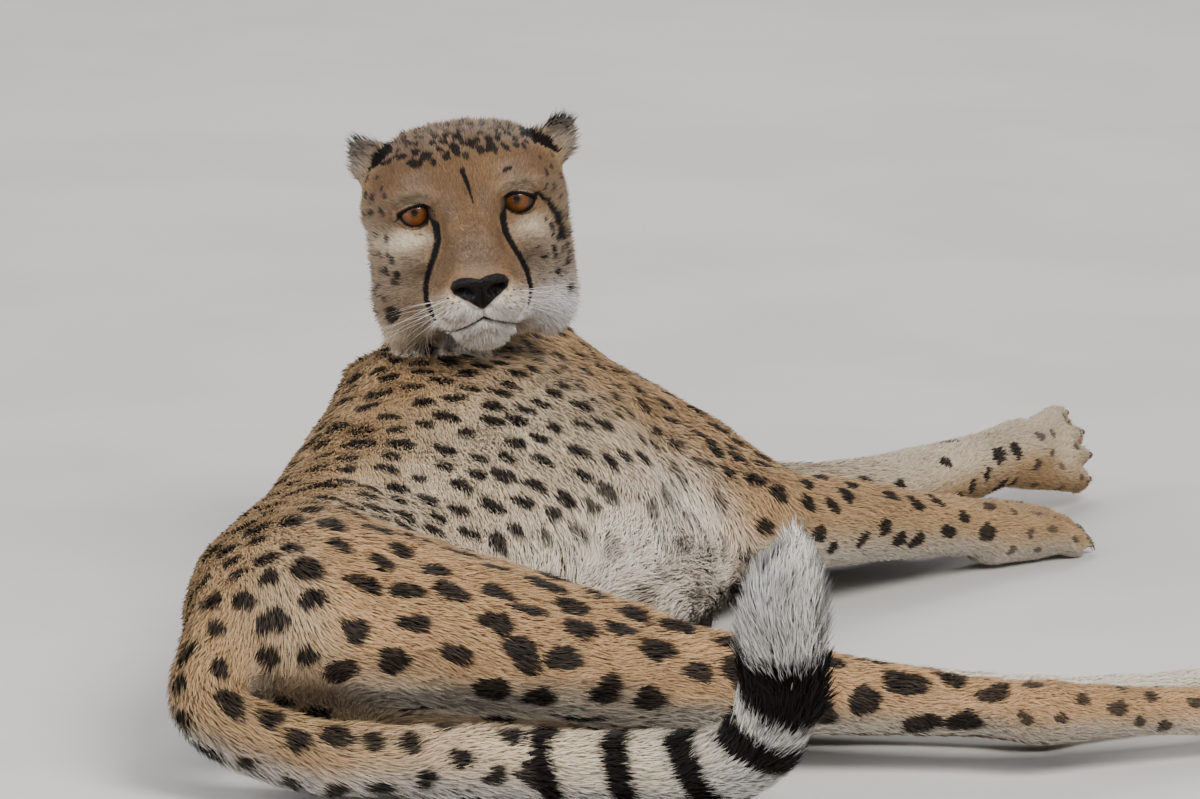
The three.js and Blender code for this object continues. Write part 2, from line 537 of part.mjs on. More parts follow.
const neckCut = cut([-68, 600, 176], [-0.32, 0.3, 0.9], 250);
const headCut = cut([-60, 556, 286], [0.12, -0.98, 0.08], 260);
const tailCuts = [cut([95, -152, 31], [1, 0.18, 0], 90), cut([350, -155, 72], [0.5, -0.3, 1], 92)];

const flesh = {};
flesh.head = (() => {
  const at = new THREE.Vector3(0, -30, -20).applyMatrix4(headFrame).toArray();
  const [lo, hi] = around([at], 150);
  return piece({ field: headOnNeck, lo, hi, cell: FINE.head, cuts: [headCut, neckCut],
    keep: at });
})();
flesh.neck = piece({ lo: [-190, 480, 100], hi: [80, 760, 400], cell: FINE.neck,
  cuts: [neckCut, headCut], less: order.map((n) => grown[n]), keep: [-78, 640, 226] });
flesh.trunk = piece({ field: headless, lo: [-200, -230, -30], hi: [220, 740, 250],
  cell: FINE.trunk, cuts: [neckCut], less: order.map((n) => grown[n]), keep: [0, 300, 86] });
const legless = (lo, hi, cuts, keep) => piece({ field: headless, lo, hi, cell: FINE.tail, cuts,
  within: region.tail, less: order.slice(0, 4).map((n) => grown[n]), keep });
flesh.tail_base = legless([-90, -240, -12], [140, -60, 150], [tailCuts[0]], [-10, -172, 45]);
flesh.tail_middle = legless([60, -215, -12], [400, -90, 130], tailCuts, [230, -140, 31]);
flesh.tail_tip = legless([300, -250, 40], [430, -105, 232], [tailCuts[1]], [366, -180, 140]);

// The cut across a leg, between two of its segments.
function legPieces(name, leg, segments, cuts) {
  const less = order.slice(0, order.indexOf(name)).map((n) => grown[n]);
  for (const [label, points, r, cell, keep, claws] of segments) {
    const [lo, hi] = around(points, r);
    let s = piece({ lo, hi, cell, cuts, within: region[name], less, keep });
    for (const c of claws || []) s = s.add(cone(c, 3.6)).subtract(under);
    flesh[label] = s;
  }
}
const toe = (p) => p.claws.map((c) => c[1]);
// At a bent joint the cut halves the angle between the two bones.
const elbowCut = (at, arm, forearm) => cut(along(at, forearm, 6),
  along(unit(arm), unit(forearm), 1), 190);
const wristCut = (at, dir) => cut(along(at, dir, -14), dir, 96);
{
  const d = rightFore;
  legPieces("foreRight", foreRight, [
    ["foreleg_right_upper", [[-60, 620, 150], rightElbow, [-20, 510, 100]], 70, FINE.upper_arm, [100, 545, 110]],
    ["foreleg_right_lower", [rightElbow, rightWrist], 60, FINE.forearm, along(rightElbow, d, 130)],
    ["foreleg_right_paw", [rightWrist, ...toe(foreRight.paw)], 34, FINE.paw, foreRight.paw.claws[1][0], foreRight.paw.claws],
  ], [elbowCut(rightElbow, [196, -106, -63], d), wristCut(rightWrist, d)]);
}
{
  const d = leftFore;
  legPieces("foreLeft", foreLeft, [
    ["foreleg_left_upper", [[-60, 540, 50], leftElbow, [-20, 660, 50]], 70, FINE.upper_arm, [110, 620, 44]],
    ["foreleg_left_lower", [leftElbow, leftWrist], 60, FINE.forearm, along(leftElbow, d, 130)],
    ["foreleg_left_paw", [leftWrist, ...toe(foreLeft.paw)], 34, FINE.paw, foreLeft.paw.claws[1][0], foreLeft.paw.claws],
  ], [elbowCut(leftElbow, [222, 72, -4], d), wristCut(leftWrist, d)]);
}
legPieces("hindRight", hindRight, [
  ["hind_leg_right_thigh", [[-60, -100, 60], [290, 90, 170]], 60, FINE.thigh, [130, 0, 98]],
  ["hind_leg_right_shank", [rightKnee, rightHock], 62, FINE.shank, [400, 34, 52]],
  ["hind_leg_right_foot", [rightHock, ...toe(hindRight.paw)], 44, FINE.foot, [590, 128, 30], hindRight.paw.claws],
], [cut([285, 19, 62], [1, 0.08, -0.06], 170), cut([474, 45, 48], [1, 0.15, -0.05], 110)]);
legPieces("hindLeft", hindLeft, [
  ["hind_leg_left_thigh", [[-60, -90, 40], [270, 160, 60]], 60, FINE.thigh, [150, 70, 40]],
  ["hind_leg_left_shank", [leftKnee, leftHock], 62, FINE.shank, [380, 118, 31]],
  ["hind_leg_left_foot", [leftHock, ...toe(hindLeft.paw)], 44, FINE.foot, [560, 210, 25], hindLeft.paw.claws],
], [cut([264, 106, 37], [1, 0.1, -0.03], 150), cut([454, 126, 28], [1, 0.1, -0.02], 110)]);

// ---------------------------------------------------------------- eyes, nose and ears
const toWorld = (p) => new THREE.Vector3(...p).applyMatrix4(headFrame).toArray();
const eyes = both((s) => toWorld(eyeAt(s)));
const [earLo, earHi] = around(both((s) => toWorld([s * 66, -62, 34])), 52);
const nodes = {};
{
  const [nl, nh] = around([toWorld([0, 64, -42])], 36);
  const nose = solidOf(noseShape, nl, nh, ...FINE.nose);
  const noseRoom = solidOf(noseShape, nl, nh, ...FINE.nose, GAP * 2.4);
  const ears = both((s) => solidOf(ear(s), ...around([toWorld([s * 66, -62, 34])], 46), ...FINE.ear));
  const earRooms = both((s) =>
    solidOf(ear(s), ...around([toWorld([s * 66, -62, 34])], 46), ...FINE.ear, GAP * 2.4));
  let head = flesh.head;
  for (const c of [...eyes.map((e) => ball(e, EYE_RADIUS + 0.45)), noseRoom, ...earRooms])
    head = head.subtract(c);
  flesh.head = head.decompose().sort((a, b) => b.volume() - a.volume())[0];
  nodes.nose = nose;
  [nodes.ear_right, nodes.ear_left] = ears;
  [nodes.eye_right, nodes.eye_left] = eyes.map((e) => ball(e, EYE_RADIUS));
}
Object.assign(nodes, flesh);

// ---------------------------------------------------------------- the scene graph
function mesh(name, solid) {
  const m = solid.getMesh(), g = new THREE.BufferGeometry();
  g.setAttribute("position", new THREE.BufferAttribute(new Float32Array(m.vertProperties), 3));
  g.setIndex(new THREE.BufferAttribute(new Uint32Array(m.triVerts), 1));
  g.computeVertexNormals();
  const colour = name.startsWith("eye") ? COLOUR.iris : name === "nose" ? COLOUR.dark
    : name === "tail_tip" ? COLOUR.pale : COLOUR.coat;
  const o = new THREE.Mesh(g, new THREE.MeshStandardMaterial({ color: colour,
    roughness: name.startsWith("eye") ? 0.1 : 0.85, metalness: 0 }));
  o.name = name;
  return o;
}
// Each region is a group set at its own joint, and its meshes are placed from there.
const joints = {
  head_and_neck: [[-68, 600, 176], ["head", "neck", "nose", "ear_right", "ear_left",
    "eye_right", "eye_left"]],
  body: [[0, 300, 0], ["trunk"]],
  tail: [[-40, -120, 96], ["tail_base", "tail_middle", "tail_tip"]],
  foreleg_right: [rightElbow, ["upper", "lower", "paw"].map((n) => "foreleg_right_" + n)],
  foreleg_left: [leftElbow, ["upper", "lower", "paw"].map((n) => "foreleg_left_" + n)],
  hind_leg_right: [rightKnee, ["thigh", "shank", "foot"].map((n) => "hind_leg_right_" + n)],
  hind_leg_left: [leftKnee, ["thigh", "shank", "foot"].map((n) => "hind_leg_left_" + n)],
};
const cheetah = new THREE.Group();
for (const [at, names] of Object.values(joints)) {
  const group = new THREE.Group();
  group.position.set(...at);
  for (const name of names) {
    const m = mesh(name, nodes[name]);
    m.geometry.translate(...at.map((v) => -v));
    group.add(m);
  }
  cheetah.add(group);
}
export default cheetah;
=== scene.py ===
# %% [markdown]
# # A cheetah at rest
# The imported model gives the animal's outline, out to the tips of its coat. This lesson builds
# what is seen: one seamless skin a little inside that outline, real eyes, claws and whiskers,
# and a coat of fine mesh hairs that follows the lie of the fur.
# All numbers are in metres, in the model's own frame: +Z up, +Y from rump to breast.

# %% Load the frame
import json
import math
import time
import bmesh
import bpy
import numpy as np
from mathutils import Matrix, Vector, kdtree

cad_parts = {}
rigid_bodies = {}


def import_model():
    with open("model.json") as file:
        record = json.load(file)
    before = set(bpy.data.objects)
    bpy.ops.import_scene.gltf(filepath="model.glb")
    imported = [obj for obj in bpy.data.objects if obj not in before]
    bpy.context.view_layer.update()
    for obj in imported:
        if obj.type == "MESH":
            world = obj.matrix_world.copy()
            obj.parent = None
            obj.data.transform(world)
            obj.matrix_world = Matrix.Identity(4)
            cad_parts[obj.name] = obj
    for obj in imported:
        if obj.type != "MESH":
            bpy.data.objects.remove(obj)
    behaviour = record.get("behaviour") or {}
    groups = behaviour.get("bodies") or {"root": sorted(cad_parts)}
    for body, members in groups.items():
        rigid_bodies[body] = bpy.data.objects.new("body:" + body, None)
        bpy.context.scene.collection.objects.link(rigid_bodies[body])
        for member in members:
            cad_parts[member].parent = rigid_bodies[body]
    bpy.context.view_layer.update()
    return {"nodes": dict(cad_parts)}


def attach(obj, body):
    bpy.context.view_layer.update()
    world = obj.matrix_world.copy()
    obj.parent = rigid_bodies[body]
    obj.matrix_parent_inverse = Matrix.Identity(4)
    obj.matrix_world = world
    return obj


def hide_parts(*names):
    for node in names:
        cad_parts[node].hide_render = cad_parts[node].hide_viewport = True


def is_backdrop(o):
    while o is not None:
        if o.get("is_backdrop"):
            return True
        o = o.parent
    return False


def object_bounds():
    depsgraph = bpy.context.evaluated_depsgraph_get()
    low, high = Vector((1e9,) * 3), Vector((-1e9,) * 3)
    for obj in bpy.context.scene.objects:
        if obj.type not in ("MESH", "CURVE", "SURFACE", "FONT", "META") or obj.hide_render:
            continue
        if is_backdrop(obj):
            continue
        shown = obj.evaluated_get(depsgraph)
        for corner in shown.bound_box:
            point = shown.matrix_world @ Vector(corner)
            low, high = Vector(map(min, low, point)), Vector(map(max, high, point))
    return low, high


started = time.time()
bpy.ops.object.select_all(action="SELECT")
bpy.ops.object.delete()                      # the empty start-up scene's own cube and lamp
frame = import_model()
scene = bpy.context.scene
SEED = 11


def spent(what):
    print(f"{what}: {time.time() - started:.1f} s")


# %% [markdown]
# ## Frames of reference
# The head has a frame of its own: x to the animal's right, y out of the face, z up, with the
# origin midway between the eyes. Facial features are described there, in millimetres, because
# both sides of a face are then one description. The face plane is the head seen from 14
# degrees above its own level: x stays, and v is the height in that view.

# %% Head frame
MM = 0.001
HEAD_AT = Vector((-0.020, 0.420, 0.308))
HEAD_HEADING, HEAD_PITCH, HEAD_ROLL = math.radians(-71), math.radians(-3), math.radians(7.2)
FACE_TILT = math.radians(14)
EYE_X, EYE_R = 37.5, 17.5
ahead = Vector((math.cos(HEAD_HEADING) * math.cos(HEAD_PITCH),
                math.sin(HEAD_HEADING) * math.cos(HEAD_PITCH), math.sin(HEAD_PITCH)))
right = Matrix.Rotation(HEAD_ROLL, 3, ahead) @ ahead.cross(Vector((0, 0, 1))).normalized()
up = right.cross(ahead)
HEAD = np.array([right, ahead, up])          # rows: the head's axes in the row frame


def to_head(p):
    """Row frame in metres to head frame in millimetres."""
    return (np.asarray(p) - np.array(HEAD_AT)) @ HEAD.T * 1000


def from_head(q):
    return np.asarray(q, float) @ HEAD * MM + np.array(HEAD_AT)


def face_v(q):
    """Height on the face plane of a point in the head frame."""
    return q[..., 2] * math.cos(FACE_TILT) - q[..., 1] * math.sin(FACE_TILT)


def step(low, high, x):
    t = np.clip((x - low) / (high - low), 0, 1)
    return t * t * (3 - 2 * t)


def lerp(a, b, t):
    return a + (b - a) * t


# %% [markdown]
# ## Camera
# A long lens from low behind the rump looks along the body into the face. The camera is made
# first, since it decides how fine each surface has to be.

# %% Camera
CAMERA_AZIMUTH, CAMERA_ELEVATION = math.radians(15), math.radians(11)
CAMERA_DISTANCE, LENS = 7.3, 300
AIM_RIGHT, AIM_DOWN = 0.0967, 0.1387         # from the eyes to the middle of the view
cam_right = Vector((math.cos(CAMERA_AZIMUTH), math.sin(CAMERA_AZIMUTH), 0))
cam_ahead = Vector((-math.sin(CAMERA_AZIMUTH) * math.cos(CAMERA_ELEVATION),
                    math.cos(CAMERA_AZIMUTH) * math.cos(CAMERA_ELEVATION),
                    -math.sin(CAMERA_ELEVATION)))
cam_up = cam_right.cross(cam_ahead)
target = HEAD_AT + AIM_RIGHT * cam_right - AIM_DOWN * cam_up
camera_data = bpy.data.cameras.new("camera")
camera_data.lens, camera_data.sensor_width = LENS, 36
camera = bpy.data.objects.new("camera", camera_data)
scene.collection.objects.link(camera)
camera.location = target - CAMERA_DISTANCE * cam_ahead
camera.rotation_mode = "QUATERNION"
camera.rotation_quaternion = Matrix((cam_right, cam_up, -cam_ahead)).transposed().to_quaternion()
camera_data.clip_start, camera_data.clip_end = 0.5, 60
scene.camera = camera
print("camera at", [round(v, 2) for v in camera.location])

# %% [markdown]
# ## Landmarks
# The joints of the limbs, the spine and the tail, from the model's source. The fur on each
# part lies along the line through its joints, from head to tail and from shoulder to toe.

# %% Landmarks
LINES = {
    "trunk": [(-38, 576, 110), (6, 500, 95), (18, 400, 93), (-10, 190, 80), (-12, 0, 85),
              (-24, -110, 100)],
    "neck": [(-44, 500, 290), (-58, 540, 284), (-74, 590, 262), (-80, 620, 218),
             (-66, 612, 164), (-38, 576, 110)],
    "tail": [(-28, -70, 112), (-40, -120, 96), (-36, -168, 62), (25, -172, 36),
             (105, -150, 31), (190, -140, 30), (272, -140, 31), (332, -148, 46),
             (361, -162, 90), (366, -178, 136), (372, -192, 174), (378, -200, 198)],
    "foreleg_right": [(-14, 608, 130), (80, 566, 105), (182, 502, 71), (304, 706, 30),
                      (345, 790, 22)],
    "foreleg_left": [(-12, 596, 48), (98, 632, 46), (206, 668, 46), (286, 899, 52),
                     (320, 990, 44)],
    "hind_leg_right": [(-20, -20, 112), (118, 2, 88), (256, 18, 60), (498, 48, 44),
                       (626, 160, 27), (690, 222, 20)],
    "hind_leg_left": [(-10, -10, 48), (112, 44, 42), (236, 104, 38), (478, 128, 27),
                      (596, 246, 23), (660, 308, 18)],
}
LINES = {name: np.array(points) * MM for name, points in LINES.items()}
# The animal lies on its left side, so the inner side of a right limb faces down, of a left up.
SIDE_OF = {"foreleg_right": -1, "hind_leg_right": -1, "foreleg_left": 1, "hind_leg_left": 1}


def along_line(p, line):
    """Distance to a line, the share of its length passed, and its direction there."""
    seg, lengths = np.diff(line, axis=0), np.linalg.norm(np.diff(line, axis=0), axis=1)
    before = np.concatenate([[0], np.cumsum(lengths)])
    best = np.full(len(p), 1e9)
    share, way = np.zeros(len(p)), np.zeros((len(p), 3))
    for i, (a, d, l) in enumerate(zip(line[:-1], seg, lengths)):
        t = np.clip(((p - a) @ d) / (l * l), 0, 1)
        far = np.linalg.norm(p - a - t[:, None] * d, axis=1)
        near = far < best
        best[near], share[near] = far[near], (before[i] + t[near] * l) / before[-1]
        way[near] = d / l
    return best, share, way


# %% [markdown]
# ## The skin's first shape
# The solids of flesh are copied, swelled until their cuts close, and welded by a Boolean. A
# voxel remesh then gives one closed skin of even cells. Smoothing with a push forward and a
# slightly larger push back takes the facets out and keeps the volume.

# %% Helpers for whole meshes
def only(*objects):
    bpy.ops.object.select_all(action="DESELECT")
    for o in objects:
        o.select_set(True)
    bpy.context.view_layer.objects.active = objects[0]


def place_of(mesh):
    co = np.empty(len(mesh.vertices) * 3, np.float32)
    mesh.vertices.foreach_get("co", co)
    return co.reshape(-1, 3).astype(float)


def set_place(mesh, co):
    mesh.vertices.foreach_set("co", co.astype(np.float32).ravel())
    mesh.update()


def normal_of(mesh):
    n = np.empty(len(mesh.vertices) * 3, np.float32)
    mesh.vertex_normals.foreach_get("vector", n)
    return n.reshape(-1, 3).astype(float)


def edges_of(mesh):
    e = np.empty(len(mesh.edges) * 2, np.int32)
    mesh.edges.foreach_get("vertices", e)
    return e.reshape(-1, 2)


def average(values, edges, times=1, keep=0.0):
    """Each vertex's values mixed with its neighbours', a number of times."""
    flat = values.reshape(len(values), -1)
    count = np.bincount(edges.ravel(), minlength=len(flat))[:, None]
    for _ in range(times):
        total = np.stack([np.bincount(edges[:, 0], flat[edges[:, 1], c], len(flat))
                          + np.bincount(edges[:, 1], flat[edges[:, 0], c], len(flat))
                          for c in range(flat.shape[1])], 1)
        flat = lerp(total / np.maximum(count, 1), flat, keep)
    return flat.reshape(values.shape)


def copy_of(node, title):
    o = bpy.data.objects.new(title, frame["nodes"][node].data.copy())
    o.data.name = title
    o.data.materials.clear()
    scene.collection.objects.link(o)
    only(o)
    return o


# %% Join, remesh and relax
EYE_NODES = ["eye_right", "eye_left"]
FLESH = sorted(n for n in frame["nodes"] if n not in EYE_NODES)
VOXEL = 0.0060
SWELL = 0.0008                               # more than half the cut between two solids
shells = []
for n in FLESH + EYE_NODES:
    shell = copy_of(n, n + "_shell")
    bpy.ops.object.mode_set(mode="EDIT")
    bpy.ops.mesh.select_all(action="SELECT")
    bpy.ops.mesh.remove_doubles(threshold=1e-5)
    bpy.ops.object.mode_set(mode="OBJECT")
    swell = shell.modifiers.new("swell", "DISPLACE")
    swell.strength, swell.mid_level = SWELL, 0
    bpy.ops.object.modifier_apply(modifier="swell")
    shells.append(shell)
skin = shells[FLESH.index("trunk")]
shells.remove(skin)
only(skin)
for shell in shells:
    weld = skin.modifiers.new("weld", "BOOLEAN")
    weld.operation, weld.object, weld.solver = "UNION", shell, "MANIFOLD"
    bpy.ops.object.modifier_apply(modifier="weld")
only(*shells)
bpy.ops.object.delete()
skin.name = skin.data.name = "skin"
only(skin)
print(f"one shell of {len(skin.data.polygons)} faces")
skin.data.remesh_voxel_size = VOXEL
bpy.ops.object.voxel_remesh()
bpy.ops.object.mode_set(mode="EDIT")
bpy.ops.mesh.select_mode(type="VERT")
bpy.ops.mesh.select_all(action="DESELECT")
edit = bmesh.from_edit_mesh(skin.data)
max(edit.verts, key=lambda v: v.co.z).select = True
bmesh.update_edit_mesh(skin.data)
bpy.ops.mesh.select_linked()
bpy.ops.mesh.select_all(action="INVERT")
bpy.ops.mesh.delete(type="VERT")             # crumbs that the remesh left inside
bpy.ops.object.mode_set(mode="OBJECT")
mesh = skin.data
co, edges = place_of(mesh), edges_of(mesh)
head_mm = to_head(co)
in_head = step(-105, -80, head_mm[:, 1]) * step(-125, -108, head_mm[:, 2]) \
    * step(115, 100, np.abs(head_mm[:, 0]))
fine = in_head.copy()
for limb in SIDE_OF:
    far, share, _ = along_line(co, LINES[limb])
    fine = np.maximum(fine, step(0.78, 0.86, share) * step(0.07, 0.05, far))
ROUNDS, WHOLE_ROUNDS = 26, 4                 # the head and feet are relaxed in the first few only
PUSH, PULL = 0.55, -0.57
for i in range(ROUNDS):
    weight = (1 - fine if i >= WHOLE_ROUNDS else np.ones(len(co)))[:, None]
    for push in (PUSH, PULL):
        co += push * weight * (average(co, edges) - co)
set_place(mesh, co)
spent(f"skin of {len(mesh.polygons)} faces")

# %% [markdown]
# ## Finer where it matters
# Eyelids and lips need cells of about a millimetre, the flank doesn't. So the head's faces are
# subdivided once, the front of the face again, the eyes and the nose a third time, and the toes
# once. To find the toes, each paw has a small frame of its own at the wrist or the hock.

# %% Where the paws are
TOES = ((-26, 82), (-9, 94), (9, 94), (26, 82))          # across the paw, reach of each tip
BETWEEN_TOES = (-17.5, 0, 17.5)
PAWS = {  # wrist or hock end, the way the toes point, the back of the paw, size
    "foreleg_right": ((305.8, 709.3, 23.7), (0.48, 0.87, -0.06), (0.15, -0.1, 1), 1.0),
    "foreleg_left": ((286.2, 899.5, 44), (0.36, 0.93, -0.02), (0.84, -0.3, 0.4), 1.0),
    "hind_leg_right": ((622, 156, 27), (0.74, 0.66, -0.08), (0.2, -0.4, 1), 0.95),
    "hind_leg_left": ((592, 242, 23), (0.7, 0.71, -0.03), (0.5, -0.4, 0.8), 0.95),
}


def paw_axes(toward, back):
    """Along the toes, across the paw and out of its back."""
    along = np.array(toward) / np.linalg.norm(toward)
    across = np.cross(along, back)
    across /= np.linalg.norm(across)
    return along, across, np.cross(across, along)


def in_paw(co, wrist, toward, back, size):
    """Reach from the wrist, place across the paw and height over it, in its own millimetres."""
    arm = (co / MM - wrist) / size
    return [arm @ axis for axis in paw_axes(toward, back)]


def on_toes(co):
    near = np.zeros(len(co), bool)
    for paw in PAWS.values():
        reach, across, height = in_paw(co, *paw)
        near |= (reach > 58) & (reach < 112) & (np.abs(across) < 45) & (np.abs(height) < 36)
    return near


# %% Subdivide the head, the face and the toes
def subdivide(pick):
    only(skin)
    bpy.ops.object.mode_set(mode="EDIT")
    bpy.ops.mesh.select_mode(type="FACE")
    bpy.ops.mesh.select_all(action="DESELECT")
    edit = bmesh.from_edit_mesh(skin.data)
    for face in edit.faces:
        face.select = all(pick[v.index] for v in face.verts)
    bmesh.update_edit_mesh(skin.data)
    bpy.ops.mesh.subdivide(number_cuts=1, smoothness=0.6)
    bpy.ops.object.mode_set(mode="OBJECT")


def on_head(q):
    return (q[:, 1] > -110) & (q[:, 1] < 90) & (np.abs(q[:, 0]) < 110) & (q[:, 2] > -110)


def on_face(q):
    v = face_v(q)
    return (q[:, 1] > -22) & (q[:, 1] < 90) & (np.abs(q[:, 0]) < 60) & (v > -106) & (v < 22)


def on_features(q):
    v = face_v(q)
    eyes = (np.hypot(np.abs(q[:, 0]) - EYE_X, v) < 17) & (q[:, 1] > -14)
    nose = (np.abs(q[:, 0]) < 31) & (v > -90) & (v < -46) & (q[:, 1] > 10)
    return (eyes | nose) & (q[:, 1] < 90)


for test in (on_head, on_face, on_features):
    subdivide(test(to_head(place_of(skin.data))))
subdivide(on_toes(place_of(skin.data)))
mesh = skin.data
spent(f"skin of {len(mesh.polygons)} faces")

# %% [markdown]
# ## Room for the coat
# The model's outline is where the hairs end, so the skin lies inside it by the depth of the
# coat: two millimetres on the feet and face, three to five on the limbs and the body, seven on
# the belly and nine at the tail's tip. Each part has one row of numbers for its hair.

# %% Which part each vertex belongs to
def sampled_nodes(spacing=0.006):
    """Random points all over each solid of flesh, with the number of the solid."""
    rng = np.random.default_rng(SEED)
    points, labels = [], []
    for k, n in enumerate(FLESH):
        m = frame["nodes"][n].data
        m.calc_loop_triangles()
        t = np.empty(len(m.loop_triangles) * 3, np.int32)
        m.loop_triangles.foreach_get("vertices", t)
        p = place_of(m)[t.reshape(-1, 3)]
        area = np.linalg.norm(np.cross(p[:, 1] - p[:, 0], p[:, 2] - p[:, 0]), axis=1) / 2
        count = int(area.sum() / spacing ** 2) + 8
        pick = rng.choice(len(p), count, p=area / area.sum())
        a, b = np.sqrt(rng.random(count)), rng.random(count)
        p = p[pick]
        points.append(p[:, 0] * (1 - a)[:, None] + p[:, 1] * (a * (1 - b))[:, None]
                      + p[:, 2] * (a * b)[:, None])
        labels.append(np.full(count, k))
    return np.concatenate(points), np.concatenate(labels)


def label_vertices(co):
    points, labels = sampled_nodes()
    tree = kdtree.KDTree(len(points))
    for i, p in enumerate(points):
        tree.insert(p, i)
    tree.balance()
    return labels[[tree.find(p)[1] for p in co]]


co = place_of(mesh)
label = label_vertices(co)
names = np.array(FLESH)[label]
edges = edges_of(mesh)
spent("vertices labelled")


def part(*starts):
    return np.any([np.char.startswith(names, s) for s in starts], axis=0)


def spread(mask, times):
    """A soft mask: 1 on the part, fading over its border."""
    return average(mask.astype(float), edges, times)


# %% The hair on each part: length and depth in millimetres
HAIR = {  # part: (hair length, coat depth, width, lift in degrees, hairs in a square cm)
    "head": (6.0, 2.4, 0.78, 19, 101),
    "nose": (2.0, 0.4, 0.5, 20, 0),
    "ear": (7.0, 1.2, 0.8, 26, 110),
    "neck": (13, 4.6, 1.15, 18, 45),
    "trunk": (11.5, 4.2, 1.2, 15, 36.8),
    "tail": (13, 4.6, 1.25, 19, 40),
    "tail_tip": (24, 9.0, 1.4, 27, 50),
    "foreleg_right_upper": (10.5, 3.8, 1.15, 16, 41),
    "foreleg_left_upper": (10.5, 3.8, 1.22, 16, 31),
    "foreleg_right_lower": (8.5, 3.0, 1.0, 17, 52.5),
    "foreleg_left_lower": (8.5, 3.0, 1.08, 17, 39),
    "foreleg_right_paw": (6.5, 2.0, 0.9, 18, 76),
    "foreleg_left_paw": (6.5, 2.0, 0.9, 18, 70),
    "hind_leg_right_thigh": (11, 4.0, 1.22, 16, 37),
    "hind_leg_left_thigh": (11, 4.0, 1.3, 16, 24),
    "hind_leg_right_shank": (8.5, 3.0, 1.05, 17, 46.5),
    "hind_leg_left_shank": (9.5, 3.0, 1.15, 17, 35),
    "hind_leg_right_foot": (7, 2.2, 0.95, 18, 60),
    "hind_leg_left_foot": (7, 2.2, 0.95, 18, 56),
}
hair = np.zeros((len(co), 5))
for k, n in enumerate(FLESH):
    key = n if n in HAIR else n.split("_")[0]
    hair[label == k] = HAIR[key]
hair[:, :4] = average(hair[:, :4], edges, 14)
hair[:, 4] = average(hair[:, 4], edges, 4)
head_mm = to_head(co)
head_mask = spread(part("head", "nose", "ear"), 6)
face_height = face_v(head_mm)


def comb(share, length=None, depth=None, lift=None):
    """Blend the hair toward a length, a depth of coat or a lift, wholly where share is 1."""
    for column, value in ((0, length), (1, depth), (3, lift)):
        if value is not None:
            hair[:, column] = lerp(hair[:, column], value, share)


def trim(share, left):
    """Cut the hair down to what is left of its length, wholly where share is 1."""
    hair[:, 0] *= lerp(1, left, share)


# %% Belly, crown, ruff and jowl
LEAN = math.radians(25)
belly_way = np.array([math.cos(LEAN), 0, -math.sin(LEAN)])   # out of the belly
SECTION = np.array([(-110, 56), (-20, 96), (90, 102), (190, 112), (290, 136), (400, 155),
                    (490, 150), (560, 120), (612, 84)]) * MM  # half depth along the trunk


def belly_share(p):
    """-1 along the spine, 0 on the flank and 1 under the belly."""
    centre = np.stack([np.interp(p[:, 1], LINES["trunk"][::-1, 1], LINES["trunk"][::-1, c])
                       for c in (0, 2)], 1)
    depth = np.interp(p[:, 1], SECTION[:, 0], SECTION[:, 1])
    return ((p[:, 0] - centre[:, 0]) * belly_way[0]
            + (p[:, 2] - centre[:, 1]) * belly_way[2]) / depth


belly = belly_share(co)
trunk_mask = spread(part("trunk"), 10)
long_belly = trunk_mask * step(0.45, 0.85, belly) * step(-0.06, 0.06, co[:, 1])
comb(long_belly, length=30, depth=7, lift=17)
crown = head_mask * step(30, 52, face_height) * step(-20, -60, head_mm[:, 1])
comb(crown, depth=6.5)
ruff = head_mask * step(52, 74, np.abs(head_mm[:, 0])) * step(24, -10, face_height)
comb(ruff, depth=6.0)
jowl = head_mask * step(-72, -90, face_height) * step(28, 42, np.abs(head_mm[:, 0]))
comb(jowl, depth=4.0)
print("hair length", hair[:, 0].min().round(1), "to", hair[:, 0].max().round(1), "mm")

# %% Draw the skin in by the coat's depth
normal = normal_of(mesh)
depth = hair[:, 1] * MM * (1 - 0.6 * step(0.012, 0.0, co[:, 2]))
co -= normal * depth[:, None]
set_place(mesh, co)
spent("skin drawn in")

# %% [markdown]
# ## Eyelids, nose and mouth
# A face is read from its edges: the rims of the lids, the wings of the nose, the line of the
# lips. Each one is a line or an outline on the face plane, and the skin's points move in or out
# by how far they lie from it. Moving points keeps the skin whole, where cutting would not.

# %% Outlines on the face plane, in millimetres
def line_gap(p, line):
    """Distance of points from a line, and how far along it the nearest place is, 0 to 1."""
    line = np.asarray(line, float)
    seg = np.diff(line, axis=0)
    lengths = np.linalg.norm(seg, axis=1)
    before = np.concatenate([[0], np.cumsum(lengths)])
    best, share = np.full(len(p), 1e9), np.zeros(len(p))
    for a, d, l, b in zip(line[:-1], seg, lengths, before):
        t = np.clip(((p - a) @ d) / (l * l), 0, 1)
        far = np.linalg.norm(p - a - t[:, None] * d, axis=1)
        near = far < best
        best[near], share[near] = far[near], (b + t[near] * l) / before[-1]
    return best, share


def outline_gap(p, outline):
    """Distance of points from a closed outline, negative inside it."""
    ring = np.vstack([outline, outline[:1]])
    gap = line_gap(p, ring)[0]
    inside = np.zeros(len(p), bool)
    for (x0, y0), (x1, y1) in zip(ring[:-1], ring[1:]):
        if y0 != y1:
            inside ^= ((y0 > p[:, 1]) != (y1 > p[:, 1])) \
                & (p[:, 0] < (x1 - x0) * (p[:, 1] - y0) / (y1 - y0) + x0)
    return np.where(inside, -gap, gap)


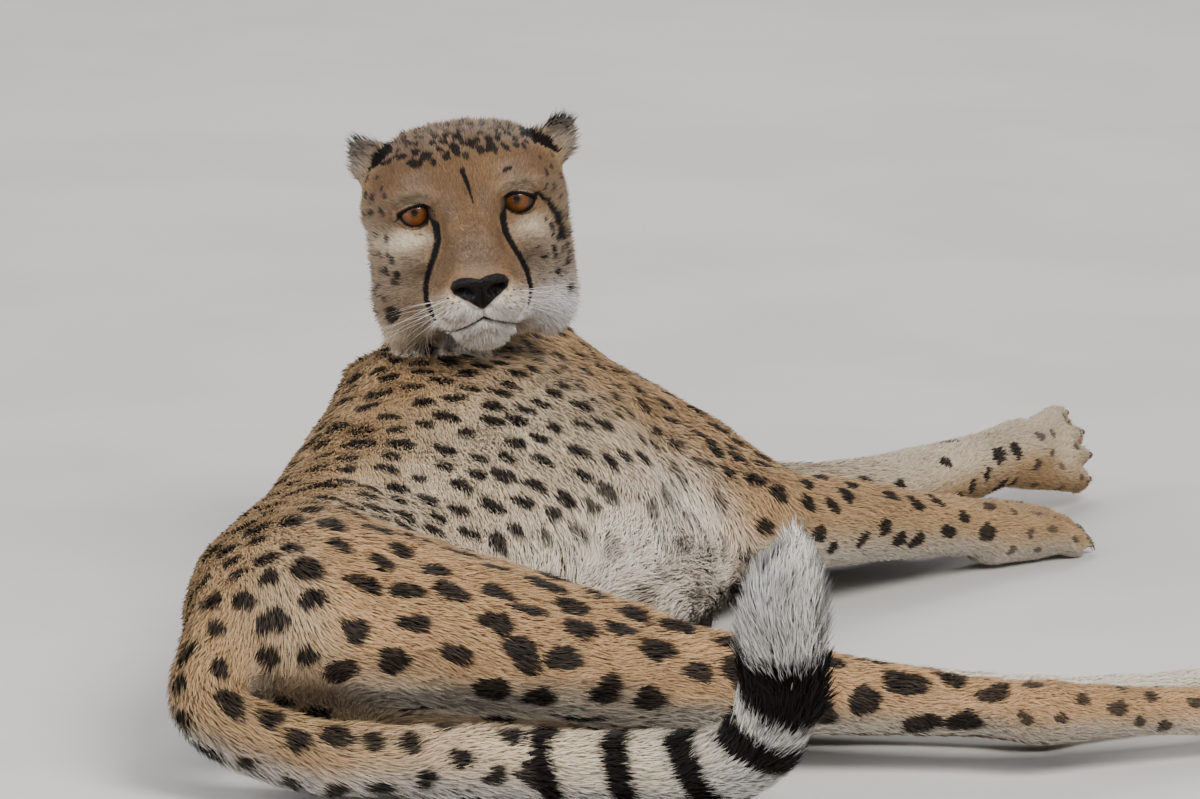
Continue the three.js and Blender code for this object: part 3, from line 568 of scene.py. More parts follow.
def eye_outline():
    """The opening between the lids: u out from the eye's middle, v up."""
    t = np.linspace(-1, 1, 25)
    u = 1 + 10.7 * t
    skew = t + 0.28 * (1 - t * t)
    top = 1.5 + 3.9 * (1 - np.abs(skew) ** 2.4)
    low = 1.5 - 8.2 * (1 - np.abs(t) ** 2.4) ** 0.8
    return np.stack([np.r_[u, u[-2:0:-1]], np.r_[top, low[-2:0:-1]]], 1)


EYE_OPENING = eye_outline()
NOSE_PAD = np.array([(0, -52.6), (6, -50.6), (13, -49.8), (18.5, -51.5), (21, -55.5), (19.2, -60),
                     (14, -63.8), (9.5, -66.6), (5, -70.2), (1.5, -72.6), (0, -73)])
NOSE_PAD = np.vstack([NOSE_PAD, (NOSE_PAD * (-1, 1))[-2:0:-1]])
NOSTRIL = [(7.2, -61.5), (10.5, -58.6), (14.6, -58.4), (17.6, -60.6)]
LIPS = [(0, -79.8), (7, -82.6), (15, -85.4), (22, -87), (27, -86.4), (31, -83.6)]
PHILTRUM = [(0, -59), (0, -72), (0, -80.5)]
TEAR = [(26.4, 1.5), (24.4, -10), (24.8, -20), (28.6, -30), (32.6, -38), (37.2, -50), (38.2, -62),
        (34, -77)]


def face_places(q):
    """Places on the face plane of head frame points, both sides folded to one."""
    return np.stack([np.abs(q[:, 0]), face_v(q)], 1)


def whisker_root(row, k):
    """A whisker's place on the face plane, in four rows of five along the upper lip."""
    return np.array([15 + 4.6 * k + 1.5 * row, -62 - 4.4 * row - 0.5 * k])


WHISKER_ROWS, IN_A_ROW = 4, 5


# %% How far the features stand out
FACE_FORMS = [  # side to side, height, half width, half height, out of the face, in millimetres
    (17, -73, 12, 9, 2.2),                   # whisker pads
    (36, 17, 15, 6, 2.2),                    # brows
    (0, 14, 3, 12, -1.0),                    # furrow between them
    (38, -15, 12, 3.0, -1.4),                # fold under the eye
    (39, -22, 13, 5, 1.2),                   # cheekbone
    (25, -8, 3.2, 8, -1.5),                  # inner corner of the eye
    (0, -97, 15, 8, 1.2),                    # chin
]
WING = [(9, -55), (15, -54), (19, -57.5)]    # over the nostril


def feature_push(face):
    """Millimetres that places on the face plane move out: negative ones are creases."""
    push = np.zeros(len(face))
    for line, deep, wide in ((NOSTRIL, 5.5, 2.3), (LIPS, 3.0, 1.7), (PHILTRUM, 1.3, 1.1)):
        gap, share = line_gap(face, line)
        ends = 1 - 0.7 * step(0.75, 1, share)
        push -= deep * ends * np.exp(-(gap / wide) ** 2)
    lip_gap = line_gap(face, LIPS)[0]
    push += 1.3 * np.exp(-((lip_gap - 4.2) / 2.6) ** 2)              # the lips' rolled edges
    pad = outline_gap(face, NOSE_PAD)
    push += 1.5 * step(1.2, -1.6, pad) - 0.7 * np.exp(-((pad - 2.2) / 1.3) ** 2)
    push += 1.4 * np.exp(-(line_gap(face, WING)[0] / 3.0) ** 2)
    for x, v, wide, high, by in FACE_FORMS:
        push += by * np.exp(-((face[:, 0] - x) / wide) ** 2 - ((face[:, 1] - v) / high) ** 2)
    push -= 0.6 * np.exp(-(line_gap(face, TEAR)[0] / 2.2) ** 2)
    for row in range(WHISKER_ROWS):
        for k in range(IN_A_ROW):
            push -= 0.5 * np.exp(-(((face - whisker_root(row, k)) ** 2).sum(1)) / 1.6)
    return push


# %% Lids
def shape_lids(p):
    """Points near an eyeball sit on a shell round it, and those in the opening sink."""
    for side in (-1, 1):
        arm = p - (side * EYE_X, -EYE_R, 0.0)
        reach = np.linalg.norm(arm, axis=1)
        way = arm / reach[:, None]
        v = face_v(p)
        s = outline_gap(np.stack([side * p[:, 0] - EYE_X, v], 1), EYE_OPENING)
        near = (reach < 34) & (way[:, 1] > -0.1)
        upper = step(-1, 2, v)
        rim = EYE_R + lerp(0.5, 1.7, step(0, 1.6, s)) + 0.5 * upper \
            - 1.5 * np.exp(-((s - 4.6) / 1.3) ** 2) * lerp(0.5, 1, upper) \
            + 0.9 * np.exp(-((s - 7.2) / 1.8) ** 2) * upper
        rim = np.where(s < 0, EYE_R - 3.2, rim)
        hold = (1 - step(5.5, 12, s)) * near
        p = p + way * (hold * (rim - reach))[:, None]
    return p


# %% Move the skin to the lids, the nose and the lips
head_mm, out = to_head(place_of(mesh)), normal_of(mesh) @ HEAD.T
on_front = (head_mm[:, 1] > -48) & (np.abs(head_mm[:, 0]) < 75) & (head_mm[:, 2] > -125) \
    & (head_mm[:, 2] < 60)
front = np.where(on_front)[0]
push = feature_push(face_places(head_mm[front])) * step(0.05, 0.35, out[front, 1])
head_mm[front] = shape_lids(head_mm[front] + out[front] * push[:, None])
set_place(mesh, from_head(head_mm))
print(f"{len(front)} points of the face, moved up to {np.abs(push).max():.1f} mm")
spent("face moved")

# %% [markdown]
# ## Muscle and bone under the coat
# Smooth lengths of limb look stuffed. A real cat at rest shows its shoulder blade, ribs, hip,
# tendons and the folds of its flank, so soft ridges and hollows are pressed along short lines.

# %% Ridges and hollows of the body
RELIEF = [  # line in millimetres, width, height out of the skin
    ([(-62, 590, 150), (30, 560, 150), (70, 530, 150)], 20, 4.0),          # shoulder blade
    ([(-110, 430, 190), (-60, 420, 225), (-10, 430, 232), (30, 440, 220)], 34, 9.0),  # withers
    ([(96, 540, 140), (110, 470, 125), (150, 410, 90)], 22, -5.0),         # behind the shoulder
    ([(60, 440, 180), (110, 430, 110), (150, 420, 50)], 14, 3.0),          # first ribs
    ([(70, 60, 160), (140, 40, 120), (215, 30, 95)], 22, 4.0),             # quadriceps
    ([(60, -30, 150), (140, -30, 112), (220, -8, 84)], 12, -4.0),          # behind it
    ([(96, 92, 150), (132, 120, 100), (168, 128, 60)], 18, -6.0),          # fold of the flank
    ([(270, 20, 84), (340, 26, 78), (420, 32, 64)], 10, 2.5),              # calf
    ([(290, -6, 66), (370, 4, 60), (470, 30, 58)], 8, -2.5),               # along the shin
    ([(420, 22, 50), (470, 32, 48), (500, 40, 46)], 6, 2.0),               # hamstring tendon
    ([(215, 555, 92), (255, 625, 76), (290, 690, 50)], 9, 3.0),            # forearm
    ([(196, 560, 60), (240, 640, 50), (285, 700, 40)], 8, -2.5),           # hollow under it
    ([(240, 730, 78), (262, 800, 74), (284, 870, 68)], 9, 2.5),            # left forearm
    ([(-30, -60, 168), (-20, -90, 150), (-10, -110, 120)], 14, 4.0),       # hip bone
]
RIBS = [(y, 62 + 0.16 * (y - 200)) for y in range(215, 430, 27)]           # their middles
co, n = place_of(mesh), normal_of(mesh)
press = np.zeros(len(co))
for line, wide, high in RELIEF:
    gap = line_gap(co / MM, line)[0]
    press += high * np.exp(-(gap / wide) ** 2)
for y, x in RIBS:
    line = [(x - 60, y + 22, 196), (x + 10, y + 6, 176), (x + 62, y - 22, 120)]
    gap = line_gap(co / MM, line)[0]
    press += 1.6 * np.exp(-(gap / 8) ** 2)
for paw in PAWS.values():
    reach, across, height = in_paw(co, *paw)
    toes = step(52, 66, reach) * step(125, 120, reach) * step(45, 40, np.abs(across)) \
        * step(38, 34, np.abs(height))
    for between in BETWEEN_TOES:
        press -= 4.2 * toes * np.exp(-((across - between) / 3.2) ** 2)
    for middle, _ in TOES:
        knuckle = np.exp(-((across - middle) / 6) ** 2 - ((reach - 76) / 10) ** 2)
        press += 2.2 * toes * knuckle * step(-4, 6, height)
press *= 1 - head_mask
co += n * (press * MM)[:, None]
set_place(mesh, co)
head_mm = to_head(co)
print(f"relief from {press.min():.1f} to {press.max():.1f} mm")
spent("relief pressed")

# %% [markdown]
# ## Eyes
# An eye is a ball with a clear bulge in front of a coloured iris. Here the ball is opaque, its
# front drawn out to the bulge, and its clear coat gives the wet highlight. The iris is painted
# by distance from the axis of gaze, which the Mapping node lays along the texture's own z.

# %% Eyeballs
GAZE_UP = math.radians(9)
GAZE_IN = {-1: math.radians(3), 1: math.radians(-4)}         # the right eye looks a little outward
BULGE = 0.0017
IRIS, PUPIL, CORNEA = 0.0101, 0.0023, 0.0112


def ramp_of(nodes, stops, kind="LINEAR"):
    ramp = nodes.new("ShaderNodeValToRGB")
    ramp.color_ramp.interpolation = kind
    while len(ramp.color_ramp.elements) < len(stops):
        ramp.color_ramp.elements.new(0.5)
    for element, (at, colour) in zip(ramp.color_ramp.elements, stops):
        element.position, element.color = at, (*colour, 1)
    return ramp


def new_material(name):
    m = bpy.data.materials.new(name)
    m.use_nodes = True
    nodes, links = m.node_tree.nodes, m.node_tree.links
    return m, nodes, links, nodes["Principled BSDF"]


def multiplied(nodes, links, colour, tone, share=1.0):
    """The output of a Mix node that multiplies one colour by another."""
    mix = nodes.new("ShaderNodeMix")
    mix.data_type, mix.blend_type = "RGBA", "MULTIPLY"
    mix.inputs["Factor"].default_value = share
    links.new(colour, mix.inputs["A"])
    links.new(tone, mix.inputs["B"])
    return mix.outputs["Result"]


# %% The eye's material
PAINTED = 0.0135                             # how far from the axis the ramp reaches


def eye_material(name, centre, gaze, top):
    m, nodes, links, shader = new_material(name)
    place = nodes.new("ShaderNodeTexCoord")
    turn = nodes.new("ShaderNodeMapping")
    turn.vector_type = "TEXTURE"
    side = Vector(top).cross(Vector(gaze)).normalized()
    high = Vector(gaze).cross(side)
    turn.inputs["Location"].default_value = centre
    turn.inputs["Rotation"].default_value = Matrix((side, high, gaze)).transposed().to_euler()
    links.new(place.outputs["Object"], turn.inputs["Vector"])
    flat = nodes.new("ShaderNodeVectorMath")
    flat.operation = "MULTIPLY"
    flat.inputs[1].default_value = (1, 1, 0)
    links.new(turn.outputs["Vector"], flat.inputs[0])
    far = nodes.new("ShaderNodeVectorMath")
    far.operation = "LENGTH"
    links.new(flat.outputs["Vector"], far.inputs[0])
    share = nodes.new("ShaderNodeMath")
    share.operation = "DIVIDE"
    share.inputs[1].default_value = PAINTED
    links.new(far.outputs["Value"], share.inputs[0])
    pupil, iris = PUPIL / PAINTED, IRIS / PAINTED
    ring = ramp_of(nodes, [
        (0, (0.003, 0.002, 0.002)), (pupil * 0.92, (0.003, 0.002, 0.002)),
        (pupil * 1.08, (0.07, 0.026, 0.008)), (iris * 0.5, (0.155, 0.058, 0.016)),
        (iris * 0.84, (0.10, 0.035, 0.010)), (iris * 0.97, (0.02, 0.009, 0.005)),
        (iris * 1.12, (0.013, 0.008, 0.006)), (0.97, (0.05, 0.033, 0.025))])
    links.new(share.outputs["Value"], ring.inputs["Fac"])
    spin = nodes.new("ShaderNodeVectorMath")
    spin.operation = "NORMALIZE"
    links.new(flat.outputs["Vector"], spin.inputs[0])
    threads = nodes.new("ShaderNodeTexNoise")
    threads.inputs["Scale"].default_value, threads.inputs["Detail"].default_value = 9.0, 5.0
    links.new(spin.outputs["Vector"], threads.inputs["Vector"])
    tone = ramp_of(nodes, [(0.3, (0.58, 0.52, 0.46)), (0.72, (1.35, 1.3, 1.2))])
    links.new(threads.outputs["Fac"], tone.inputs["Fac"])
    painted = multiplied(nodes, links, ring.outputs["Color"], tone.outputs["Color"], 0.85)
    # Painted shadow of the upper lid: the iris darkens toward its top.
    axes = nodes.new("ShaderNodeSeparateXYZ")
    links.new(turn.outputs["Vector"], axes.inputs["Vector"])
    lid_shadow = nodes.new("ShaderNodeMapRange")
    for socket, value in (("From Min", 0.0005), ("From Max", 0.0050), ("To Min", 1.0), ("To Max", 0.25)):
        lid_shadow.inputs[socket].default_value = value
    links.new(axes.outputs["Y"], lid_shadow.inputs["Value"])
    shade = nodes.new("ShaderNodeVectorMath")
    shade.operation = "SCALE"
    links.new(painted, shade.inputs[0])
    links.new(lid_shadow.outputs["Result"], shade.inputs["Scale"])
    links.new(shade.outputs["Vector"], shader.inputs["Base Color"])
    for socket, value in (("Roughness", 0.28), ("Coat Weight", 1.0), ("Coat Roughness", 0.02),
                          ("Coat IOR", 1.33), ("Specular IOR Level", 0.1)):
        shader.inputs[socket].default_value = value
    return m


# %% Model the two balls


for side, node in ((1, "eye_right"), (-1, "eye_left")):
    centre = from_head([side * EYE_X, -EYE_R, 0])
    look = np.array([-side * math.sin(GAZE_IN[side]), math.cos(GAZE_UP), math.sin(GAZE_UP)])
    gaze = Vector(look / np.linalg.norm(look) @ HEAD).normalized()
    bpy.ops.object.select_all(action="DESELECT")
    bpy.ops.mesh.primitive_uv_sphere_add(segments=56, ring_count=40, radius=EYE_R * MM - 0.0003)
    ball = bpy.context.active_object
    ball.name = ball.data.name = node.replace("eye", "eyeball")
    co_ball = place_of(ball.data)
    off_axis = np.linalg.norm(co_ball[:, :2], axis=1)
    bulge = (co_ball[:, 2] > 0) * np.clip(1 - (off_axis / CORNEA) ** 2, 0, 1)
    co_ball[:, 2] += BULGE * bulge
    turned = gaze.to_track_quat("Z", "Y").to_matrix()
    set_place(ball.data, co_ball @ np.array(turned).T + centre)
    bpy.ops.object.shade_smooth()
    ball.data.materials.append(eye_material(ball.name, centre, gaze, up))
    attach(ball, "root")
    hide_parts(node)
print("eyeballs", len(ball.data.polygons), "faces each")

# %% [markdown]
# ## The lie of the fur
# Hair grows away from the nose, down the neck, back along the body and down each limb. Every
# point of the skin gets that direction from the line it belongs to, and averaging with its
# neighbours turns the joins into smooth sweeps.

# %% Direction of the fur at each point of the skin
NOSE_TIP = np.array([0, 66, -40])
EAR_ROOT = {1: np.array([60, -70, 24]), -1: np.array([-60, -70, 24])}
EAR_WAY = {1: np.array([0.74, -0.2, 0.64]), -1: np.array([-0.8, -0.22, 0.56])}
co, normal = place_of(mesh), normal_of(mesh)
edges = edges_of(mesh)
flow = np.zeros((len(co), 3))
for line in LINES:
    mine = part(line)
    if mine.any():
        flow[mine] = along_line(co[mine], LINES[line])[2]
toward_belly = part("trunk") * step(1.0, 0.5, np.abs(belly))
flow += 0.95 * toward_belly[:, None] * belly_way
mine = part("head", "nose")
flow[mine] = (head_mm[mine] - NOSE_TIP) @ HEAD / 90
flow -= 0.9 * jowl[:, None] * HEAD[2]
for side, node in ((1, "ear_right"), (-1, "ear_left")):
    flow[part(node)] = EAR_WAY[side] @ HEAD


def on_skin(way, n):
    way = way - n * (way * n).sum(1)[:, None]
    return way / np.maximum(np.linalg.norm(way, axis=1), 1e-9)[:, None]


flow /= np.maximum(np.linalg.norm(flow, axis=1), 1e-9)[:, None]
flow = on_skin(average(flow, edges, 24), normal)
rng = np.random.default_rng(SEED)
ruffle = average(rng.normal(0, 1, (len(co), 2)), edges, 5)
ruffle /= ruffle.std(0)
sweep = average(rng.normal(0, 1, (len(co), 1)), edges, 60)[:, 0]
sweep /= sweep.std()
spent("lie of the fur")

# %% [markdown]
# ## Coat colours
# The ground colour is sandy on the back and legs, white on the belly, throat and the inner
# sides of the limbs. It is worked out once at the skin's points, so the skin and the coat over
# it can't disagree.

# %% Ground colour, linear red, green and blue
TAN = np.array((0.50, 0.33, 0.175))
OCHRE = np.array((0.54, 0.345, 0.18))
FACE_TAN = np.array((0.215, 0.126, 0.063))
CREAM = np.array((0.78, 0.655, 0.48))
WHITE = np.array((0.88, 0.85, 0.80))
BELLY = np.array((0.97, 0.83, 0.70))
SMOKE = np.array((0.40, 0.34, 0.28))
CHEEK = np.array((0.35, 0.265, 0.185))
BLACK = np.array((0.011, 0.008, 0.007))
GREY_SPOT = np.array((0.15, 0.12, 0.10))


def mixed(base, colour, share):
    return lerp(base, colour, np.clip(share, 0, 1)[:, None])


def blob(face, x, v, wide, high):
    return np.exp(-(((face[:, 0] - x) / wide) ** 2 + ((face[:, 1] - v) / high) ** 2) ** 1.5)


# %% Ground colour of the body
def body_ground(co, n):
    ground = np.tile(TAN, (len(co), 1))
    ground = mixed(ground, OCHRE, spread(part("hind_leg"), 8))
    trunk = spread(part("trunk"), 6)
    not_rump = step(-0.06, 0.06, co[:, 1])
    pale = step(-0.7, 0.0, belly) * step(0.56, 0.36, co[:, 1])
    ground = mixed(ground, CREAM * 0.95, trunk * pale * lerp(0.35, 0.9, not_rump))
    pale = step(0.22, 0.7, belly) * step(0.52, 0.42, co[:, 1])
    ground = mixed(ground, lerp(CREAM, BELLY, 0.6), trunk * pale * not_rump)
    ground = mixed(ground, BELLY, trunk * step(0.5, 0.85, belly) * not_rump)
    for limb, inner in SIDE_OF.items():
        mine = spread(part(limb), 16 if limb == "foreleg_left" else 5)
        if limb == "hind_leg_left":
            mine = mine * step(0.10, 0.20, co[:, 0])
        pale = CREAM * 0.76 if limb == "foreleg_left" else lerp(CREAM, WHITE, 0.45)
        ground = mixed(ground, CREAM * 0.9, 0.8 * mine * step(-0.1, 0.45, n[:, 2] * inner))
        ground = mixed(ground, pale, mine * step(0.25, 0.75, n[:, 2] * inner))
    tail = spread(part("tail"), 4)
    length = along_line(co, LINES["tail"])[1]
    ground = mixed(ground, CREAM, tail * step(0.25, 0.6, length))
    ground = mixed(ground, WHITE, tail * step(0.5, 0.95, length) * 0.9)
    ground = mixed(ground, WHITE, 0.8 * tail * step(0.1, -0.6, n[:, 2]))
    throat = spread(part("neck"), 6) * step(0.2, -0.5, n[:, 0] * -0.2 + n[:, 2] * 0.6 + n[:, 1] * 0.7)
    return mixed(ground, CREAM, 0.7 * throat)


# %% Ground colour of the head
BOTH_SIDES = [  # (side to side, height, half width, half height) on the face, colour, share
    ((16, -77, 21, 12), WHITE, 1.0),                      # upper lip
    ((0, -97, 30, 15), WHITE, 1.0),                       # chin
    ((25, -66, 14, 9), CREAM, 0.5),                       # top of the whisker pad
    ((52, -46, 20, 20), CHEEK, 0.75),
    ((38, 12, 14, 5), CREAM, 0.5),                        # over the eye
    ((34, 24, 12, 7), SMOKE, 0.3),                        # brow
    ((13, 3, 6, 12), SMOKE * 0.7, 0.2),                   # beside the bridge
    ((0, -36, 16, 22), SMOKE * (0.42, 0.38, 0.35), 0.62),     # bridge of the nose
    ((0, 30, 30, 12), FACE_TAN * 1.1, 0.5),               # forehead
    # Painted shadow under the lips, over hair that is greyer there.
    ((6, -88, 18, 4.5), SMOKE * 0.75, 0.6),               # shade under the lips
]
ONE_SIDE = [  # the same, where right is positive
    ((48, -18, 19, 7.5), CREAM, 0.95),                    # under the right eye
    ((47, -30, 14, 10), CREAM, 0.35),
    ((62, -86, 24, 15), CREAM, 0.8),                      # right jowl
    ((-43, -20, 14, 9), CREAM, 0.6),                      # under the left eye
    # The left cheek is painted darker and cooler than the right, as shade on that side of the face.
    ((-52, -44, 20, 18), CHEEK * (0.78, 0.82, 0.95), 0.6),    # left cheek
    ((-50, -34, 14, 12), CREAM, 0.2),
    ((-58, -84, 24, 23), WHITE * (1.05, 1.08, 1.14), 1.0),    # left jowl
]


def head_ground(q):
    face = face_places(q)
    ground = np.tile(FACE_TAN, (len(q), 1))
    side = step(46, 70, face[:, 0]) * step(30, 0, face[:, 1])
    ground = mixed(ground, CHEEK, 0.8 * side)
    back = step(-30, -75, q[:, 1])
    ground = mixed(ground, TAN * 0.9, back * step(-40, 10, q[:, 2]))
    ground = mixed(ground, CREAM, back * step(-20, -70, q[:, 2]))
    place = np.stack([q[:, 0], face[:, 1]], 1)
    for where, patches in ((face, BOTH_SIDES), (place, ONE_SIDE)):
        for patch, colour, share in patches:
            ground = mixed(ground, colour, share * blob(where, *patch))
    crown = step(34, 48, face[:, 1]) * step(74, 50, face[:, 0])
    ground = mixed(ground, SMOKE * (0.66, 0.54, 0.44), 0.8 * crown)
    under = step(-84, -100, face[:, 1])
    return mixed(ground, WHITE * 0.95, 0.9 * under)


# %% Ground colour of the ears
def ear_ground(q, out):
    ground = np.tile(SMOKE * 0.9, (len(q), 1))
    for side in (1, -1):
        mine = side * q[:, 0] > 0
        along = (q - EAR_ROOT[side]) @ EAR_WAY[side] / np.linalg.norm(EAR_WAY[side])
        ground = mixed(ground, TAN * 0.95, mine * step(14, -6, along))
        rear = step(0.15, -0.25, out[:, 1])
        ground = mixed(ground, BLACK * 2, mine * rear * step(2, 8, along) * step(30, 22, along))
        ground = mixed(ground, SMOKE * 0.62, 0.8 * mine * step(0.1, 0.6, out[:, 1]))
    return ground


# %% Put the ground colours together
out = normal @ HEAD.T
ground = body_ground(co, normal)
ground = mixed(ground, np.zeros(3), head_mask) + head_mask[:, None] * head_ground(head_mm)
ear_mask = spread(part("ear"), 3)
ground = mixed(ground, np.zeros(3), ear_mask) + ear_mask[:, None] * ear_ground(head_mm, out)
ground = average(ground, edges, 2)
mottle = average(rng.normal(0, 1, (len(co), 1)), edges, 16)[:, 0]
ground *= (1 + 0.07 * mottle / mottle.std())[:, None]
spent("ground colour")

# %% [markdown]
# ## Spots
# Every spot is an ellipse with a wavy edge that lies along the fur, and no two are alike. Their
# centres are scattered so that none is nearer to another than the part allows. The distance to
# a spot's edge is a formula, so each hair can find exactly which side of the edge it grows on.

# %% The spots of each part
SPOTS = {  # part: (least gap, half length, half width in millimetres, blackness)
    "head": (11, 3.6, 2.6, 0.85), "nose": (99, 1, 1, 0), "ear": (99, 1, 1, 0),
    "neck": (18, 6.6, 4.6, 0.95), "trunk": (22, 8.0, 10.0, 1.0), "tail": (24, 10, 7.5, 1.0),
    "tail_tip": (99, 1, 1, 0),
    "foreleg_right": (22, 8.4, 6.2, 1.0), "foreleg_left": (23, 8.4, 6.0, 1.0),
    "hind_leg_right": (28, 13.4, 9.4, 1.0), "hind_leg_left": (28, 12.6, 9.2, 1.0),
    "foreleg_right_paw": (16, 4.2, 3.2, 0.6), "foreleg_left_paw": (17, 4.2, 3.2, 0.6),
    "hind_leg_right_foot": (20, 6.2, 4.6, 0.85), "hind_leg_left_foot": (20, 6.2, 4.6, 0.85),
}
plan = np.zeros((len(co), 4))
for k, n in enumerate(FLESH):
    key = max((s for s in SPOTS if n.startswith(s)), key=len)
    plan[label == k] = SPOTS[key]
plan = average(plan, edges, 12)
shoulder = trunk_mask * step(0.36, 0.50, co[:, 1])
plan[:, :3] = lerp(plan[:, :3], (19, 6.8, 5.4), shoulder[:, None])
ARMPIT = np.array((0.135, 0.500, 0.090))
armpit = step(0.065, 0.03, np.linalg.norm(co - ARMPIT, axis=1))
plan[:, :3] = lerp(plan[:, :3], (13, 8.5, 4.6), armpit[:, None])
belly_fade = trunk_mask * step(0.45, 0.80, belly) * step(-0.06, 0.06, co[:, 1])
plan[:, :3] = lerp(plan[:, :3], (34, 11, 7), belly_fade[:, None])
plan[:, 3] *= 1 - 0.70 * belly_fade
blotchy = head_mask * step(36, 46, face_height) * step(-112, -96, head_mm[:, 1])
plan[:, :3] = lerp(plan[:, :3], (7.8, 4.6, 2.9), blotchy[:, None])
plan[:, 3] = lerp(plan[:, 3], 1.0, blotchy)
for limb, inner in SIDE_OF.items():
    bare = spread(part(limb), 4) * step(0.35, 0.85, normal[:, 2] * inner)
    plan[:, 0] = lerp(plan[:, 0], 58, bare * (0.5 if limb == "foreleg_left" else 1.0))
tail_share = along_line(co, LINES["tail"])[1]
tail_mask = spread(part("tail"), 4)
banded = tail_mask * step(0.50, 0.58, tail_share)
plain_face = head_mask * step(-62, -40, head_mm[:, 1]) * step(62, 50, np.abs(head_mm[:, 0])) \
    * step(42, 36, face_height)
plain_face = np.maximum(plain_face, head_mask * step(-40, -60, face_height)
                        * step(-70, -40, head_mm[:, 1]))
under_jaw = (head_mm[:, 1] > -85) & (face_height < -80)
spotted = (plan[:, 3] > 0.1) & (plain_face < 0.3) & (banded < 0.4) & ~part("ear", "nose") \
    & ~(under_jaw & part("neck", "head"))


# %% Scatter their centres
def scatter(mask, gaps, rng):
    """Points of the mask in random order, each kept if no kept one is nearer than its gap."""
    kept, places = [], np.empty((0, 3))
    for i in rng.permutation(np.where(mask)[0]):
        if len(places) and ((places - co[i]) ** 2).sum(1).min() < (gaps[i] * MM) ** 2:
            continue
        kept.append(i)
        places = np.vstack([places, co[i]])
    return np.array(kept)


centres = scatter(spotted, plan[:, 0], rng)
marks = np.zeros(len(centres), [("at", "3f8"), ("n", "3f8"), ("along", "3f8"), ("half", "2f8"),
                                ("wave", "3f8"), ("black", "f8")])


# %% Marks of the face
HAND_MARKS = [  # side to side and height on the face plane, half length, half width
    (26, 44, 6, 3), (11, 42, 5, 2.6), (-22, 45, 6, 3), (-32, 26, 5, 2.2), (33, 39, 7, 4),
    (20, 38, 4, 2.4), (-9, 47, 5, 2.6), (3, 48, 6, 3), (71, -34, 6, 4.2), (62, -38, 3.6, 3),
    (56, -41, 4, 3.4), (63, -69, 8.5, 6.4), (75, -63, 6, 4.6), (-58, -36, 3.8, 3.2),
    (-51, -42, 2.8, 2.4), (-67, -35, 3.6, 3), (-66, -48, 4.2, 3.4), (-59, -54, 3, 2.6),
    (-65, -66, 4.6, 3.2), (-71, -57, 3.4, 2.8), (70, -50, 3.6, 3), (65, -58, 3, 2.4),
    (-55, -14, 2.2, 1.8), (-58, -26, 2.6, 2), (-61, -30, 2.6, 2), (60, -24, 2.4, 1.8),
    (68, -16, 2.8, 2), (-74, -44, 3, 2.6), (-72, -28, 3, 2.2), (-47, -34, 1.8, 1.5)]


def mark_at(i, half, black, turn):
    along = on_skin((flow[i] + turn * np.cross(normal[i], flow[i]))[None], normal[i][None])[0]
    return (co[i], normal[i], along, half, rng.uniform(0, 6.28, 3), black)


for k, i in enumerate(centres):
    size = rng.uniform(0.8, 1.18)
    half = plan[i, 1:3] * size * (rng.uniform(0.9, 1.12), rng.uniform(0.86, 1.1))
    marks[k] = mark_at(i, half, plan[i, 3], rng.normal(0, 0.3))
front = np.where(out[:, 1] * head_mask > 0.1)[0]


def nearest_on_face(x, v):
    """The skin's vertex nearest to a place on the face plane."""
    place = np.stack([head_mm[front, 0], face_height[front]], 1)
    return front[((place - (x, v)) ** 2).sum(1).argmin()]


by_hand = np.zeros(len(HAND_MARKS), marks.dtype)
for k, (x, v, length, width) in enumerate(HAND_MARKS):
    by_hand[k] = mark_at(nearest_on_face(x, v), (length, width), 1.0, rng.normal(0, 0.4))
marks = np.concatenate([marks, by_hand])
print(len(marks), "spots")


# %% The marks nearest to a point
def nearest_marks(p, count=4):
    found = np.empty((len(p), count), np.int32)
    for at in range(0, len(p), 8000):
        block = p[at:at + 8000]
        gap = ((block ** 2).sum(1)[:, None] - 2 * block @ marks["at"].T
               + (marks["at"] ** 2).sum(1)[None])
        found[at:at + 8000] = np.argpartition(gap, count, axis=1)[:, :count]
    return found


# %% Distance to a spot's edge
def spot_gap(p, n, near):
    """Millimetres to the edge of the nearest spot, negative inside, and how black it is."""
    best, black = np.full(len(p), 50.0), np.zeros(len(p))
    for c in range(near.shape[1]):
        m = marks[near[:, c]]
        d = (p - m["at"]) / MM
        across = np.cross(m["n"], m["along"])
        a, b = (d * m["along"]).sum(1), (d * across).sum(1)
        turn = np.arctan2(b, a)
        wave = (1 + 0.10 * np.sin(2 * turn + m["wave"][:, 0])
                + 0.09 * np.sin(3 * turn + m["wave"][:, 1])
                + 0.05 * np.sin(5 * turn + m["wave"][:, 2]))
        share = np.sqrt((a / m["half"][:, 0]) ** 2 + (b / m["half"][:, 1]) ** 2) / wave
        gap = (share - 1) * m["half"].prod(1) ** 0.5
        gap = np.where((m["n"] * n).sum(1) < 0.1, 50, gap)
        gap = np.where(np.abs((d * m["n"]).sum(1)) > 25, 50, gap)
        nearer = gap < best
        best, black = np.where(nearer, gap, best), np.where(nearer, m["black"], black)
    return best, black


# %% The face's lines and the tail's bands
FIRST_BAND, BAND_STEP = 0.535, 0.080         # shares of the tail's length
BAND_HALVES = np.array([9, 10, 11, 12, 25.0])
FOREHEAD = [(0.5, 28), (-2.4, 16), (-4, 4)]
OUTER_EYE = [(-48, 4), (-53, 5), (-58, -1), (-61, -10), (-63, -19), (-64.5, -28)]
OUTER_EYE_RIGHT = [(48, 2), (53, -1.5)]
EAR_PATCH = {-1: [(-50, 51), (-60, 45), (-72, 38)], 1: [(50, 51), (60, 45), (72, 38)]}


